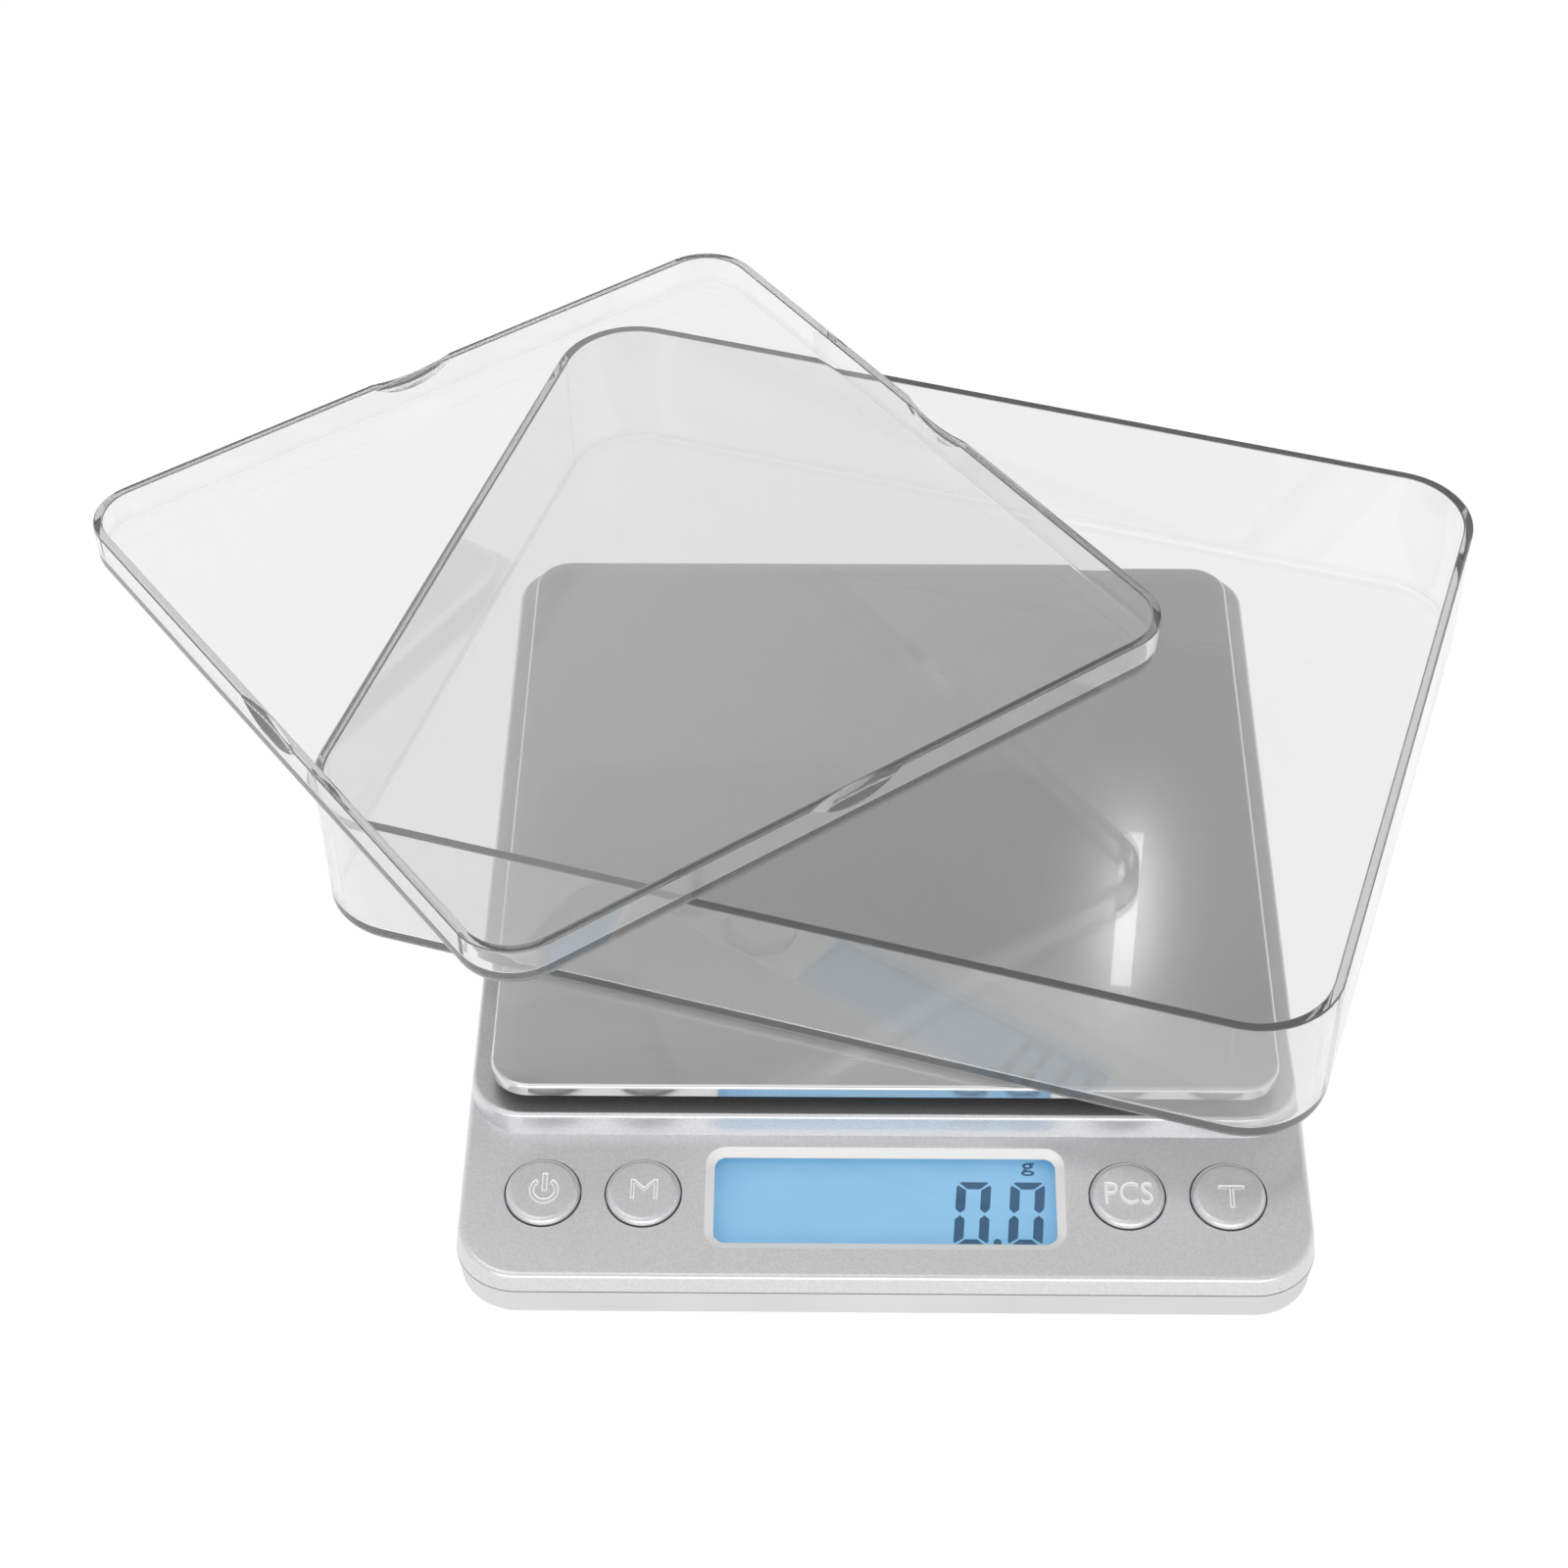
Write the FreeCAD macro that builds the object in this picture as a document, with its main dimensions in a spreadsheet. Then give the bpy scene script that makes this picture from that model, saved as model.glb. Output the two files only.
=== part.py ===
"""Digital gram scale with a deep tray and a shallow tray: a parametric FreeCAD document.

Millimetres, +Z up, +Y towards the back. The origin lies on the weighing axis, which is the middle
of the platform, in the plane that the feet stand on.
"""
import FreeCAD, Part
import math
import os

import Sketcher
from FreeCAD import Placement, Rotation, Vector

SHEET = "Sizes"
ABOVE = 20.0

ROWS = [
    # casing
    ("case_width", 107.5, "widest outline, at the seam between the two casings"),
    ("case_front", 72.6, "weighing axis to the front edge"),
    ("case_back", 55.2, "weighing axis to the back edge"),
    ("case_corner", 8.0, "plan radius of the casing's corners"),
    ("cover_wall", 1.6, "wall of the top cover"),
    ("side_draft", 7.0, "lean of the cover's sides, degrees"),
    ("seam_height", 5.5, "top edge of the bottom case"),
    ("seam_gap", 0.2, "shadow line between the casings"),
    ("lip_height", 8.26, "front edge of the control panel"),
    ("panel_slope", 9.8, "slope of the control panel, degrees"),
    ("plinth_front", 53.0, "weighing axis to the plinth's foot line"),
    ("plinth_height", 15.0, "flat top under the platform"),
    ("lip_round", 0.8, "round along the casing's front and side edges"),
    ("plinth_round", 0.6, "round along the plinth's top edge"),
    ("foot_height", 0.8, "how far the feet stand proud"),
    ("floor_thickness", 1.6, "floor of the bottom case"),
    ("case_wall", 2.4, "wall of the bottom case, with the tongue on it"),
    ("tongue_height", 1.0, "tongue that stands up inside the cover"),
    ("tongue_play", 0.15, "gap between the tongue and the cover"),
    ("bottom_draft", 6.0, "lean of the bottom case's sides, degrees"),
    ("bottom_round", 0.9, "round along the bottom edge"),
    # platform
    ("platform_height", 19.0, "weighing surface above the table"),
    ("pan_width", 100.0, "steel pan, side to side"),
    ("pan_depth", 101.0, "steel pan, front to back"),
    ("pan_corner", 5.0, "plan radius of the pan's corners"),
    ("pan_sheet", 0.6, "thickness of the pan's sheet"),
    ("pan_skirt", 1.8, "height of the pan's turned-down edge"),
    ("pan_round", 0.5, "bend radius of the pan's edge"),
    ("carrier_play", 0.3, "gap between the carrier's edge and the pan's skirt"),
    ("carrier_plate", 1.4, "thickness of the carrier"),
    ("carrier_rib", 0.8, "depth of the ribs under the carrier"),
    ("rib_width", 1.6, "width of the ribs under the carrier"),
    ("rib_offset", 30.0, "weighing axis to each rib"),
    ("post_width", 13.0, "post that stands on the load cell, side to side"),
    ("post_length", 15.0, "post, front to back"),
    ("post_play", 2.0, "gap round the post in the cover's opening"),
    ("stop_gap", 0.4, "gap under the overload stops"),
    ("stop_diameter", 5.0, "overload stops under the carrier"),
    ("stop_inset", 12.0, "overload stops, in from the pan's edges"),
    # load cell
    ("beam_length", 47.0, "load cell, front to back"),
    ("beam_width", 12.0, "load cell, side to side"),
    ("beam_height", 6.0, "load cell, bottom to top"),
    ("beam_seat", 4.2, "underside of the load cell above the table"),
    ("beam_bore", 4.4, "the two bores that make the thin bending sections"),
    ("bore_offset", 5.5, "middle of the load cell to each bore"),
    ("beam_slot", 1.4, "slot between the bores"),
    ("screw_inset", 3.0, "outer screw to the load cell's end"),
    ("screw_pitch", 8.0, "pitch of the two screws in each end"),
    ("beam_screw", 3.0, "thread diameter of the load cell's screws"),
    ("screw_play", 0.05, "radial gap round each screw"),
    ("beam_screw_head", 5.5, "head diameter of the load cell's screws"),
    ("beam_head_height", 1.6, "head height of the screws from below"),
    ("sink_depth", 0.1, "countersunk heads below the carrier's face"),
    ("gauge_length", 4.0, "strain gauge film, along the beam"),
    ("gauge_width", 5.0, "strain gauge film, across the beam"),
    ("gauge_film", 0.12, "strain gauge film thickness"),
    # display
    ("window_width", 42.9, "clear window, side to side"),
    ("window_depth", 12.3, "clear window, up the panel"),
    ("window_place", 11.7, "middle of the window, up the panel from its front edge"),
    ("window_corner", 1.5, "corner radius of the window"),
    ("window_bevel", 1.15, "width of the sloped frame round the window"),
    ("window_recess", 0.7, "depth of the sloped frame"),
    ("window_land", 0.2, "straight edge below the sloped frame"),
    ("lens_margin", 1.2, "lens beyond the window on each side"),
    ("lens_play", 0.1, "gap round the lens in its pocket"),
    ("lens_sheet", 1.0, "lens thickness"),
    ("glass_gap", 0.1, "gap between the lens and the display glass"),
    ("glass_sheet", 1.6, "display glass thickness"),
    ("glass_width", 47.0, "display glass, side to side"),
    ("glass_depth", 15.4, "display glass, up the panel"),
    ("light_sheet", 1.5, "backlight thickness"),
    ("light_depth", 12.4, "backlight, up the panel"),
    ("strip_width", 1.6, "contact strip, up the panel"),
    ("strip_length", 44.0, "contact strip, side to side"),
    ("holder_wall", 0.8, "wall of the display holder"),
    ("holder_play", 0.1, "gap inside the display holder"),
    # board and keys
    ("board_width", 97.0, "circuit board, side to side"),
    ("board_front", 5.0, "board's front edge, up the panel"),
    ("board_rear", 24.8, "board's rear edge, up the panel"),
    ("board_sheet", 1.0, "circuit board thickness"),
    ("board_screw_x", 36.6, "board screws from the middle"),
    ("board_screw_place", 20.4, "board screws, up the panel"),
    ("board_screw", 1.8, "thread diameter of the board screws"),
    ("board_screw_head", 3.6, "head diameter of the board screws"),
    ("board_head_height", 1.1, "head height of the board screws"),
    ("board_boss", 4.6, "bosses that the board screws hold in"),
    ("chip_size", 9.0, "controller chip, each way"),
    ("chip_height", 1.0, "controller chip thickness"),
    ("key_hole", 9.8, "round holes for the keys"),
    ("key_play", 0.2, "gap between each key and its hole"),
    ("key_rise", 0.9, "how far each key stands above the panel"),
    ("key_round", 0.85, "round along each key's edge"),
    ("key_inner_x", 30.3, "inner keys from the middle"),
    ("key_outer_x", 42.9, "outer keys from the middle"),
    ("key_place", 12.1, "middle of the keys, up the panel"),
    ("flange_margin", 0.75, "key flange beyond its hole"),
    ("flange_play", 0.1, "gap above each key's flange"),
    ("flange_sheet", 0.7, "key flange thickness"),
    ("switch_size", 6.0, "switch housing, each way"),
    ("switch_lower", 0.5, "switch housing below the key's flange"),
    ("plunger_diameter", 3.2, "switch plunger"),
    ("plunger_play", 0.1, "gap round the plunger"),
    ("plunger_reach", 1.3, "plunger inside its housing"),
    ("plunger_well", 0.5, "free depth under the plunger"),
    # batteries
    ("cell_diameter", 10.5, "AAA cell"),
    ("cell_length", 44.5, "AAA cell with its nub"),
    ("nub_diameter", 3.8, "positive nub"),
    ("nub_length", 0.8, "positive nub"),
    ("cell_gap", 0.2, "between the two cells"),
    ("bay_front", 28.2, "weighing axis to the bay's front wall"),
    ("bay_margin", 0.3, "gap between a cell and the bay's wall"),
    ("bay_wall", 1.0, "wall of the battery bay"),
    ("bay_roof_gap", 0.2, "gap between the bay's wall and the cover"),
    ("spring_length", 3.9, "contact spring as it is compressed"),
    ("contact_sheet", 0.4, "contact plate thickness"),
    ("contact_bump", 0.6, "dimple that meets the nub"),
    ("contact_width", 8.0, "single contact plates"),
    ("contact_height", 9.0, "all contact plates"),
    ("contact_foot", 0.65, "gap between the case floor and the contact plates"),
    ("spring_turns", 2.5, "turns of the contact spring"),
    ("spring_wire", 0.5, "contact spring wire"),
    ("spring_base", 3.1, "radius of the spring at its plate"),
    ("spring_taper", 20.0, "taper of the contact spring, degrees"),
    ("door_sheet", 1.2, "battery cover thickness"),
    ("door_play", 0.2, "gap round the battery cover"),
    ("door_ledge", 1.2, "casing floor that the cover's tabs hook over"),
    ("door_width", 49.0, "opening for the battery cover"),
    ("tab_length", 1.0, "tabs, beyond the opening's edge"),
    ("tab_width", 6.0, "tabs, side to side"),
    ("tab_sheet", 0.6, "tab thickness"),
    ("tab_lift", 0.1, "gap between the tabs and the floor"),
    ("latch_width", 10.0, "latch tongue"),
    ("latch_height", 1.2, "latch tongue above the cover's inner face"),
    # fasteners and feet
    ("column_x", 46.2, "casing screws from the middle"),
    ("column_front", 42.0, "weighing axis to the front casing screws"),
    ("column_back", 36.0, "weighing axis to the rear casing screws"),
    ("column_diameter", 6.4, "columns in the bottom case"),
    ("column_top", 6.0, "where column and boss meet"),
    ("boss_diameter", 5.6, "bosses in the cover"),
    ("case_screw", 2.4, "thread diameter of the casing screws"),
    ("case_screw_head", 4.6, "head diameter of the casing screws"),
    ("case_head_height", 1.6, "head height of the casing screws"),
    ("case_screw_seat", 3.0, "height of the seat under the heads"),
    ("case_screw_length", 8.0, "casing screws below the head"),
    ("foot_diameter", 8.0, "rubber feet"),
    ("foot_play", 0.1, "gap round a foot in its recess"),
    ("foot_sink", 0.6, "depth of the foot recess"),
    ("foot_x", 44.0, "feet from the middle"),
    ("foot_front", 62.5, "weighing axis to the front feet"),
    ("foot_back", 46.5, "weighing axis to the rear feet"),
    # wiring
    ("lead_diameter", 0.9, "insulated leads"),
    ("lead_pitch", 1.8, "between neighbouring leads"),
    ("lead_lift", 0.1, "gap between a lead and what it lies over"),
    # trays
    ("tray_wall", 1.4, "wall of both trays"),
    ("tray_floor", 1.5, "floor of both trays"),
    ("rim_round", 0.25, "round along the tray rims"),
    ("deep_width", 135.0, "deep tray rim, long side"),
    ("deep_depth", 111.8, "deep tray rim, short side"),
    ("deep_height", 20.6, "deep tray"),
    ("deep_draft", 1.2, "lean of the deep tray's walls, degrees"),
    ("deep_corner", 11.0, "plan radius of the deep tray's foot corners"),
    ("deep_round", 1.3, "round along the deep tray's foot"),
    ("deep_x", 4.2, "middle of the deep tray as it stands"),
    ("deep_y", 11.05, "middle of the deep tray as it stands"),
    ("deep_turn", -17.1, "deep tray turned about the vertical, degrees"),
    ("shallow_side", 108.7, "shallow tray rim, each side"),
    ("shallow_height", 6.0, "shallow tray"),
    ("shallow_draft", 2.0, "lean of the shallow tray's walls, degrees"),
    ("shallow_corner", 7.8, "plan radius of the shallow tray's foot corners"),
    ("shallow_round", 0.9, "round along the shallow tray's foot"),
    ("shallow_x", -35.9, "middle of the shallow tray as it stands"),
    ("shallow_y", 20.0, "middle of the shallow tray as it stands"),
    ("shallow_turn", 36.4, "shallow tray turned about the vertical, degrees"),
    ("scoop_radius", 25.3, "ball that each finger scoop is cut with"),
    ("scoop_bite", 1.1, "depth of a scoop at the rim"),
    ("scoop_rise", 6.6, "middle of the ball above the rim"),
]


class Size:
    """A length or angle that carries its number and the sheet expression it comes from."""

    def __init__(self, value, text):
        self.value = value
        self.text = text

    def __add__(self, other):
        other = as_size(other)
        return Size(self.value + other.value, f"({self.text} + {other.text})")

    def __sub__(self, other):
        other = as_size(other)
        return Size(self.value - other.value, f"({self.text} - {other.text})")

    def __mul__(self, other):
        other = as_size(other)
        return Size(self.value * other.value, f"({self.text} * {other.text})")

    def __truediv__(self, other):
        other = as_size(other)
        return Size(self.value / other.value, f"({self.text} / {other.text})")

    def __neg__(self):
        return Size(-self.value, f"(-1 * {self.text})")


def as_size(number):
    """Wraps a plain number as a Size."""
    return number if isinstance(number, Size) else Size(float(number), f"({number})")


def tangent(angle):
    """Tangent of a Size in degrees."""
    return Size(math.tan(math.radians(angle.value)), f"tan({angle.text} * 1 deg)")


def cosine(angle):
    """Cosine of a Size in degrees."""
    return Size(math.cos(math.radians(angle.value)), f"cos({angle.text} * 1 deg)")


def sine(angle):
    """Sine of a Size in degrees."""
    return Size(math.sin(math.radians(angle.value)), f"sin({angle.text} * 1 deg)")


def root(area):
    """Square root of a Size."""
    return Size(math.sqrt(area.value), f"sqrt({area.text})")


class SizeTable:
    """The driving dimensions: a spreadsheet, with each alias as an attribute here."""

    def __init__(self, doc):
        sheet = doc.addObject("Spreadsheet::Sheet", SHEET)
        for row, (alias, value, note) in enumerate(ROWS, start=1):
            sheet.set(f"A{row}", str(value))
            sheet.setAlias(f"A{row}", alias)
            sheet.set(f"B{row}", note)
            setattr(self, alias, Size(float(value), f"{SHEET}.{alias}"))


doc = FreeCAD.newDocument("GramScale")
d = SizeTable(doc)
doc.recompute()

NODES = {}


# ---------------------------------------------------------------- building blocks

def keep(label, made):
    """Registers a finished sub-part under its node name."""
    made.Label = label
    NODES[label] = made
    return made


def new_sketch(body, plane="XY_Plane", level=0):
    """A sketch on one of the body's own origin planes, moved along the plane's normal."""
    sketch = body.newObject("Sketcher::SketchObject", body.Name + "_sketch")
    support = [part for part in body.Origin.OriginFeatures if part.Role == plane]
    sketch.AttachmentSupport = [(support[0], "")]
    sketch.MapMode = "FlatFace"
    sketch.setExpression("AttachmentOffset.Base.z", as_size(level).text)
    return sketch


def bind(sketch, *constraint):
    """Adds a constraint whose last entry is a Size, bound to the sheet."""
    size = as_size(constraint[-1])
    index = sketch.addConstraint(Sketcher.Constraint(*constraint[:-1], size.value))
    sketch.setExpression(f"Constraints[{index}]", size.text)


def draw_polygon(sketch, points):
    """A closed outline of straight lines, with every corner placed by the sheet."""
    corners = [(as_size(x), as_size(y)) for x, y in points]
    first = sketch.GeometryCount
    count = len(corners)
    for index, (x, y) in enumerate(corners):
        end_x, end_y = corners[(index + 1) % count]
        line = Part.LineSegment(Vector(x.value, y.value, 0), Vector(end_x.value, end_y.value, 0))
        sketch.addGeometry(line, False)
    for index in range(count):
        following = first + (index + 1) % count
        sketch.addConstraint(Sketcher.Constraint("Coincident", first + index, 2, following, 1))
    for index, (x, y) in enumerate(corners):
        bind(sketch, "DistanceX", -1, 1, first + index, 1, x)
        bind(sketch, "DistanceY", -1, 1, first + index, 1, y)


def draw_circle(sketch, x, y, diameter):
    """A circle placed by the sheet."""
    x, y, radius = as_size(x), as_size(y), as_size(diameter) / 2
    centre = Vector(x.value, y.value, 0)
    index = sketch.addGeometry(Part.Circle(centre, Vector(0, 0, 1), radius.value), False)
    bind(sketch, "DistanceX", -1, 1, index, 3, x)
    bind(sketch, "DistanceY", -1, 1, index, 3, y)
    bind(sketch, "Radius", index, radius)


def draw_round_box(sketch, box, radius):
    """A rectangle with round corners. box is its low x, low y, high x and high y."""
    low_x, low_y, high_x, high_y = (as_size(edge) for edge in box)
    radius = as_size(radius)
    x0, y0, x1, y1, r = low_x.value, low_y.value, high_x.value, high_y.value, radius.value
    sides = [
        (Vector(x0 + r, y0, 0), Vector(x1 - r, y0, 0)),
        (Vector(x1, y0 + r, 0), Vector(x1, y1 - r, 0)),
        (Vector(x1 - r, y1, 0), Vector(x0 + r, y1, 0)),
        (Vector(x0, y1 - r, 0), Vector(x0, y0 + r, 0)),
    ]
    centres = [
        Vector(x1 - r, y0 + r, 0),
        Vector(x1 - r, y1 - r, 0),
        Vector(x0 + r, y1 - r, 0),
        Vector(x0 + r, y0 + r, 0),
    ]
    lines = [sketch.addGeometry(Part.LineSegment(*ends), False) for ends in sides]
    arcs = []
    for quarter, centre in enumerate(centres):
        circle = Part.Circle(centre, Vector(0, 0, 1), r)
        start = (quarter - 1) * math.pi / 2
        arcs.append(sketch.addGeometry(Part.ArcOfCircle(circle, start, start + math.pi / 2), False))
    for quarter in range(4):
        following = lines[(quarter + 1) % 4]
        sketch.addConstraint(Sketcher.Constraint("Tangent", lines[quarter], 2, arcs[quarter], 1))
        sketch.addConstraint(Sketcher.Constraint("Tangent", arcs[quarter], 2, following, 1))
    for flat, upright in ((0, 1), (2, 3)):
        sketch.addConstraint(Sketcher.Constraint("Horizontal", lines[flat]))
        sketch.addConstraint(Sketcher.Constraint("Vertical", lines[upright]))
    for arc in arcs[1:]:
        sketch.addConstraint(Sketcher.Constraint("Equal", arcs[0], arc))
    bind(sketch, "DistanceY", -1, 1, lines[0], 1, low_y)
    bind(sketch, "DistanceX", -1, 1, lines[1], 1, high_x)
    bind(sketch, "DistanceY", -1, 1, lines[2], 1, high_y)
    bind(sketch, "DistanceX", -1, 1, lines[3], 1, low_x)
    bind(sketch, "Radius", arcs[0], radius)


def centred_box(width, depth, x=0, y=0):
    """The low x, low y, high x and high y of a rectangle about a middle point."""
    x, y, width, depth = as_size(x), as_size(y), as_size(width), as_size(depth)
    return (x - width / 2, y - depth / 2, x + width / 2, y + depth / 2)


def pad(name, draw, level, height, taper=None, plane="XY_Plane"):
    """A body padded from a sketch that draw() fills, from level and by height along the normal."""
    body = doc.addObject("PartDesign::Body", name)
    sketch = new_sketch(body, plane, level)
    draw(sketch)
    feature = body.newObject("PartDesign::Pad", name + "_pad")
    feature.Profile = sketch
    feature.setExpression("Length", as_size(height).text)
    if taper is not None:
        feature.setExpression("TaperAngle", taper.text)
    return body


def round_box(name, box, radius, level, height, taper=None):
    """An upright block with round plan corners."""
    return pad(name, lambda sketch: draw_round_box(sketch, box, radius), level, height, taper)


def block(name, box, level, height):
    """An upright block with square corners."""
    low_x, low_y, high_x, high_y = box
    corners = [(low_x, low_y), (high_x, low_y), (high_x, high_y), (low_x, high_y)]
    return pad(name, lambda sketch: draw_polygon(sketch, corners), level, height)


def rod(name, x, y, diameter, level, height):
    """An upright cylinder."""
    return pad(name, lambda sketch: draw_circle(sketch, x, y, diameter), level, height)


def turned(name, profile):
    """A body turned about the Z axis from an outline of radius and height points."""
    body = doc.addObject("PartDesign::Body", name)
    sketch = new_sketch(body, "XZ_Plane")
    draw_polygon(sketch, profile)
    feature = body.newObject("PartDesign::Revolution", name + "_turn")
    feature.Profile = sketch
    feature.ReferenceAxis = (sketch, ["V_Axis"])
    feature.Angle = 360
    return body


def cut(name, base, *tools):
    """The base with every tool taken away."""
    return boolean("Part::Cut", name, base, tools)


def overlap(name, base, tool):
    """What the base and the tool share."""
    return boolean("Part::Common", name, base, [tool])


def boolean(kind, name, base, tools):
    """A Part boolean of the base with one tool, or with several fused first."""
    tool = tools[0] if len(tools) == 1 else fuse(name + "_tools", *tools)
    result = doc.addObject(kind, name)
    result.Base = base
    result.Tool = tool
    return result


def fuse(name, *parts):
    """All the parts joined."""
    result = doc.addObject("Part::MultiFuse", name)
    result.Shapes = list(parts)
    result.Refine = True
    return result


def group(name, parts):
    """Separate solids that share one node."""
    result = doc.addObject("Part::Compound", name)
    result.Links = list(parts)
    return result


def blend_edges(name, base, radius, wanted):
    """A body on the base, with every edge that wanted() picks rounded."""
    doc.recompute()
    body = doc.addObject("PartDesign::Body", name)
    body.BaseFeature = base
    doc.recompute()
    edges = base.Shape.Edges
    names = [f"Edge{number}" for number, edge in enumerate(edges, start=1) if wanted(edge)]
    if not names:
        raise ValueError(f"{name} has no edge to round")
    feature = body.newObject("PartDesign::Fillet", name + "_round")
    feature.Base = (body.Group[0], names)
    feature.setExpression("Radius", as_size(radius).text)
    return body


def at_height(height):
    """Picks edges that lie wholly at one height."""
    level = as_size(height).value

    def wanted(edge):
        box = edge.BoundBox
        return abs(box.ZMin - level) < 1e-4 and abs(box.ZMax - level) < 1e-4

    return wanted


def place(made, x=0, y=0, z=0, turn=None, axis=Vector(0, 0, 1)):
    """Places an object by the sheet, turned about an axis by a Size in degrees."""
    x, y, z = as_size(x), as_size(y), as_size(z)
    angle = turn.value if turn is not None else 0
    made.Placement = Placement(Vector(x.value, y.value, z.value), Rotation(axis, angle))
    for direction, size in (("x", x), ("y", y), ("z", z)):
        made.setExpression(f"Placement.Base.{direction}", size.text)
    if turn is not None:
        made.setExpression("Placement.Rotation.Angle", turn.text)
    return made


def on_panel(made):
    """Places an object made in the panel's own frame: X across, Y up the panel, Z out of it."""
    return place(made, 0, -d.case_front, d.lip_height, d.panel_slope, Vector(1, 0, 0))


def panel_point(x, up, out):
    """A point of the panel's own frame, as a vector in the scale's frame."""
    slope = math.radians(d.panel_slope.value)
    y = -d.case_front.value + up * math.cos(slope) - out * math.sin(slope)
    z = d.lip_height.value + up * math.sin(slope) + out * math.cos(slope)
    return Vector(x, y, z)


# ---------------------------------------------------------------- levels that pieces share

FLOOR_TOP = d.foot_height + d.floor_thickness
COVER_CEILING = d.plinth_height - d.cover_wall
COVER_BOTTOM = d.seam_height + d.seam_gap
SEAM_DRIFT = d.seam_gap * tangent(d.side_draft)
PAN_INSIDE = d.platform_height - d.pan_sheet
CARRIER_BOTTOM = PAN_INSIDE - d.carrier_plate
BEAM_TOP = d.beam_seat + d.beam_height
OUTER_SCREW = d.beam_length / 2 - d.screw_inset
INNER_SCREW = OUTER_SCREW - d.screw_pitch
POST_Y = (OUTER_SCREW + INNER_SCREW) / 2

# depths below the panel's outer face
LENS_TOP = d.window_recess + d.window_land
GLASS_TOP = LENS_TOP + d.lens_sheet + d.glass_gap
LIGHT_TOP = GLASS_TOP + d.glass_sheet
BOARD_TOP = LIGHT_TOP + d.light_sheet
BOARD_BOTTOM = BOARD_TOP + d.board_sheet
FLANGE_TOP = d.cover_wall + d.flange_play
FLANGE_BOTTOM = FLANGE_TOP + d.flange_sheet
SWITCH_TOP = FLANGE_BOTTOM + d.switch_lower

# the battery bay
CELL_PITCH = d.cell_diameter + d.cell_gap
BAY_DEPTH = d.cell_diameter + CELL_PITCH + d.bay_margin * 2
BAY_BACK = d.bay_front + BAY_DEPTH
CELL_FRONT_Y = d.bay_front + d.bay_margin + d.cell_diameter / 2
CELL_REAR_Y = CELL_FRONT_Y + CELL_PITCH
DOOR_INSIDE = d.foot_height + d.door_sheet
CELL_Z = DOOR_INSIDE + d.bay_margin + d.cell_diameter / 2
BAY_HALF = (d.cell_length + d.spring_length + d.contact_bump) / 2 + d.contact_sheet
DOOR_FRONT = d.bay_front
DOOR_BACK = BAY_BACK - d.door_ledge

KEYS = {
    "power": -d.key_outer_x,
    "mode": -d.key_inner_x,
    "count": d.key_inner_x,
    "tare": d.key_outer_x,
}
COLUMNS = [(side, place_y) for place_y in (-d.column_front, d.column_back)
           for side in (-d.column_x, d.column_x)]


# ---------------------------------------------------------------- casing

def cover_form(name, inset, rim_round=None):
    """The cover's outer form, drawn in by inset: an apron under the panel, and the plinth."""
    half = d.case_width / 2 - inset - SEAM_DRIFT
    front = -d.case_front + inset + SEAM_DRIFT
    back = d.case_back - inset - SEAM_DRIFT
    corner = d.case_corner - inset
    plinth_front = -d.plinth_front + inset + SEAM_DRIFT
    height = d.plinth_height - inset - COVER_BOTTOM
    lean = -d.side_draft
    apron = round_box(name + "_apron", (-half, front, half, back), corner, COVER_BOTTOM, height, lean)
    plinth = round_box(name + "_plinth", (-half, plinth_front, half, back), corner,
                       COVER_BOTTOM, height, lean)
    drop = inset / cosine(d.panel_slope)
    near = -d.case_front - ABOVE
    far = plinth_front + d.plinth_height
    rise_near = d.lip_height - drop - tangent(d.panel_slope) * ABOVE
    rise_far = d.lip_height - drop + (far + d.case_front) * tangent(d.panel_slope)
    top = d.plinth_height + ABOVE
    outline = [(near, rise_near), (far, rise_far), (far, top), (near, top)]
    above_panel = pad(name + "_above", lambda sketch: draw_polygon(sketch, outline),
                      -d.case_width, d.case_width * 2, plane="YZ_Plane")
    sloped = cut(name + "_sloped", apron, above_panel)
    if rim_round is not None:
        sloped = blend_edges(name + "_rim", sloped, rim_round, on_panel_rim)
    return fuse(name, sloped, plinth)


def on_panel_rim(edge):
    """Picks the apron's edges where the sloped panel meets the front and the sides."""
    slope = tangent(d.panel_slope).value
    for point in (edge.valueAt(edge.FirstParameter), edge.valueAt(edge.LastParameter)):
        height = d.lip_height.value + (point.y + d.case_front.value) * slope
        if abs(point.z - height) > 1e-3:
            return False
    runs_across = edge.BoundBox.YLength < 1e-3
    return not runs_across or edge.BoundBox.YMax < -d.plinth_front.value


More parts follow.
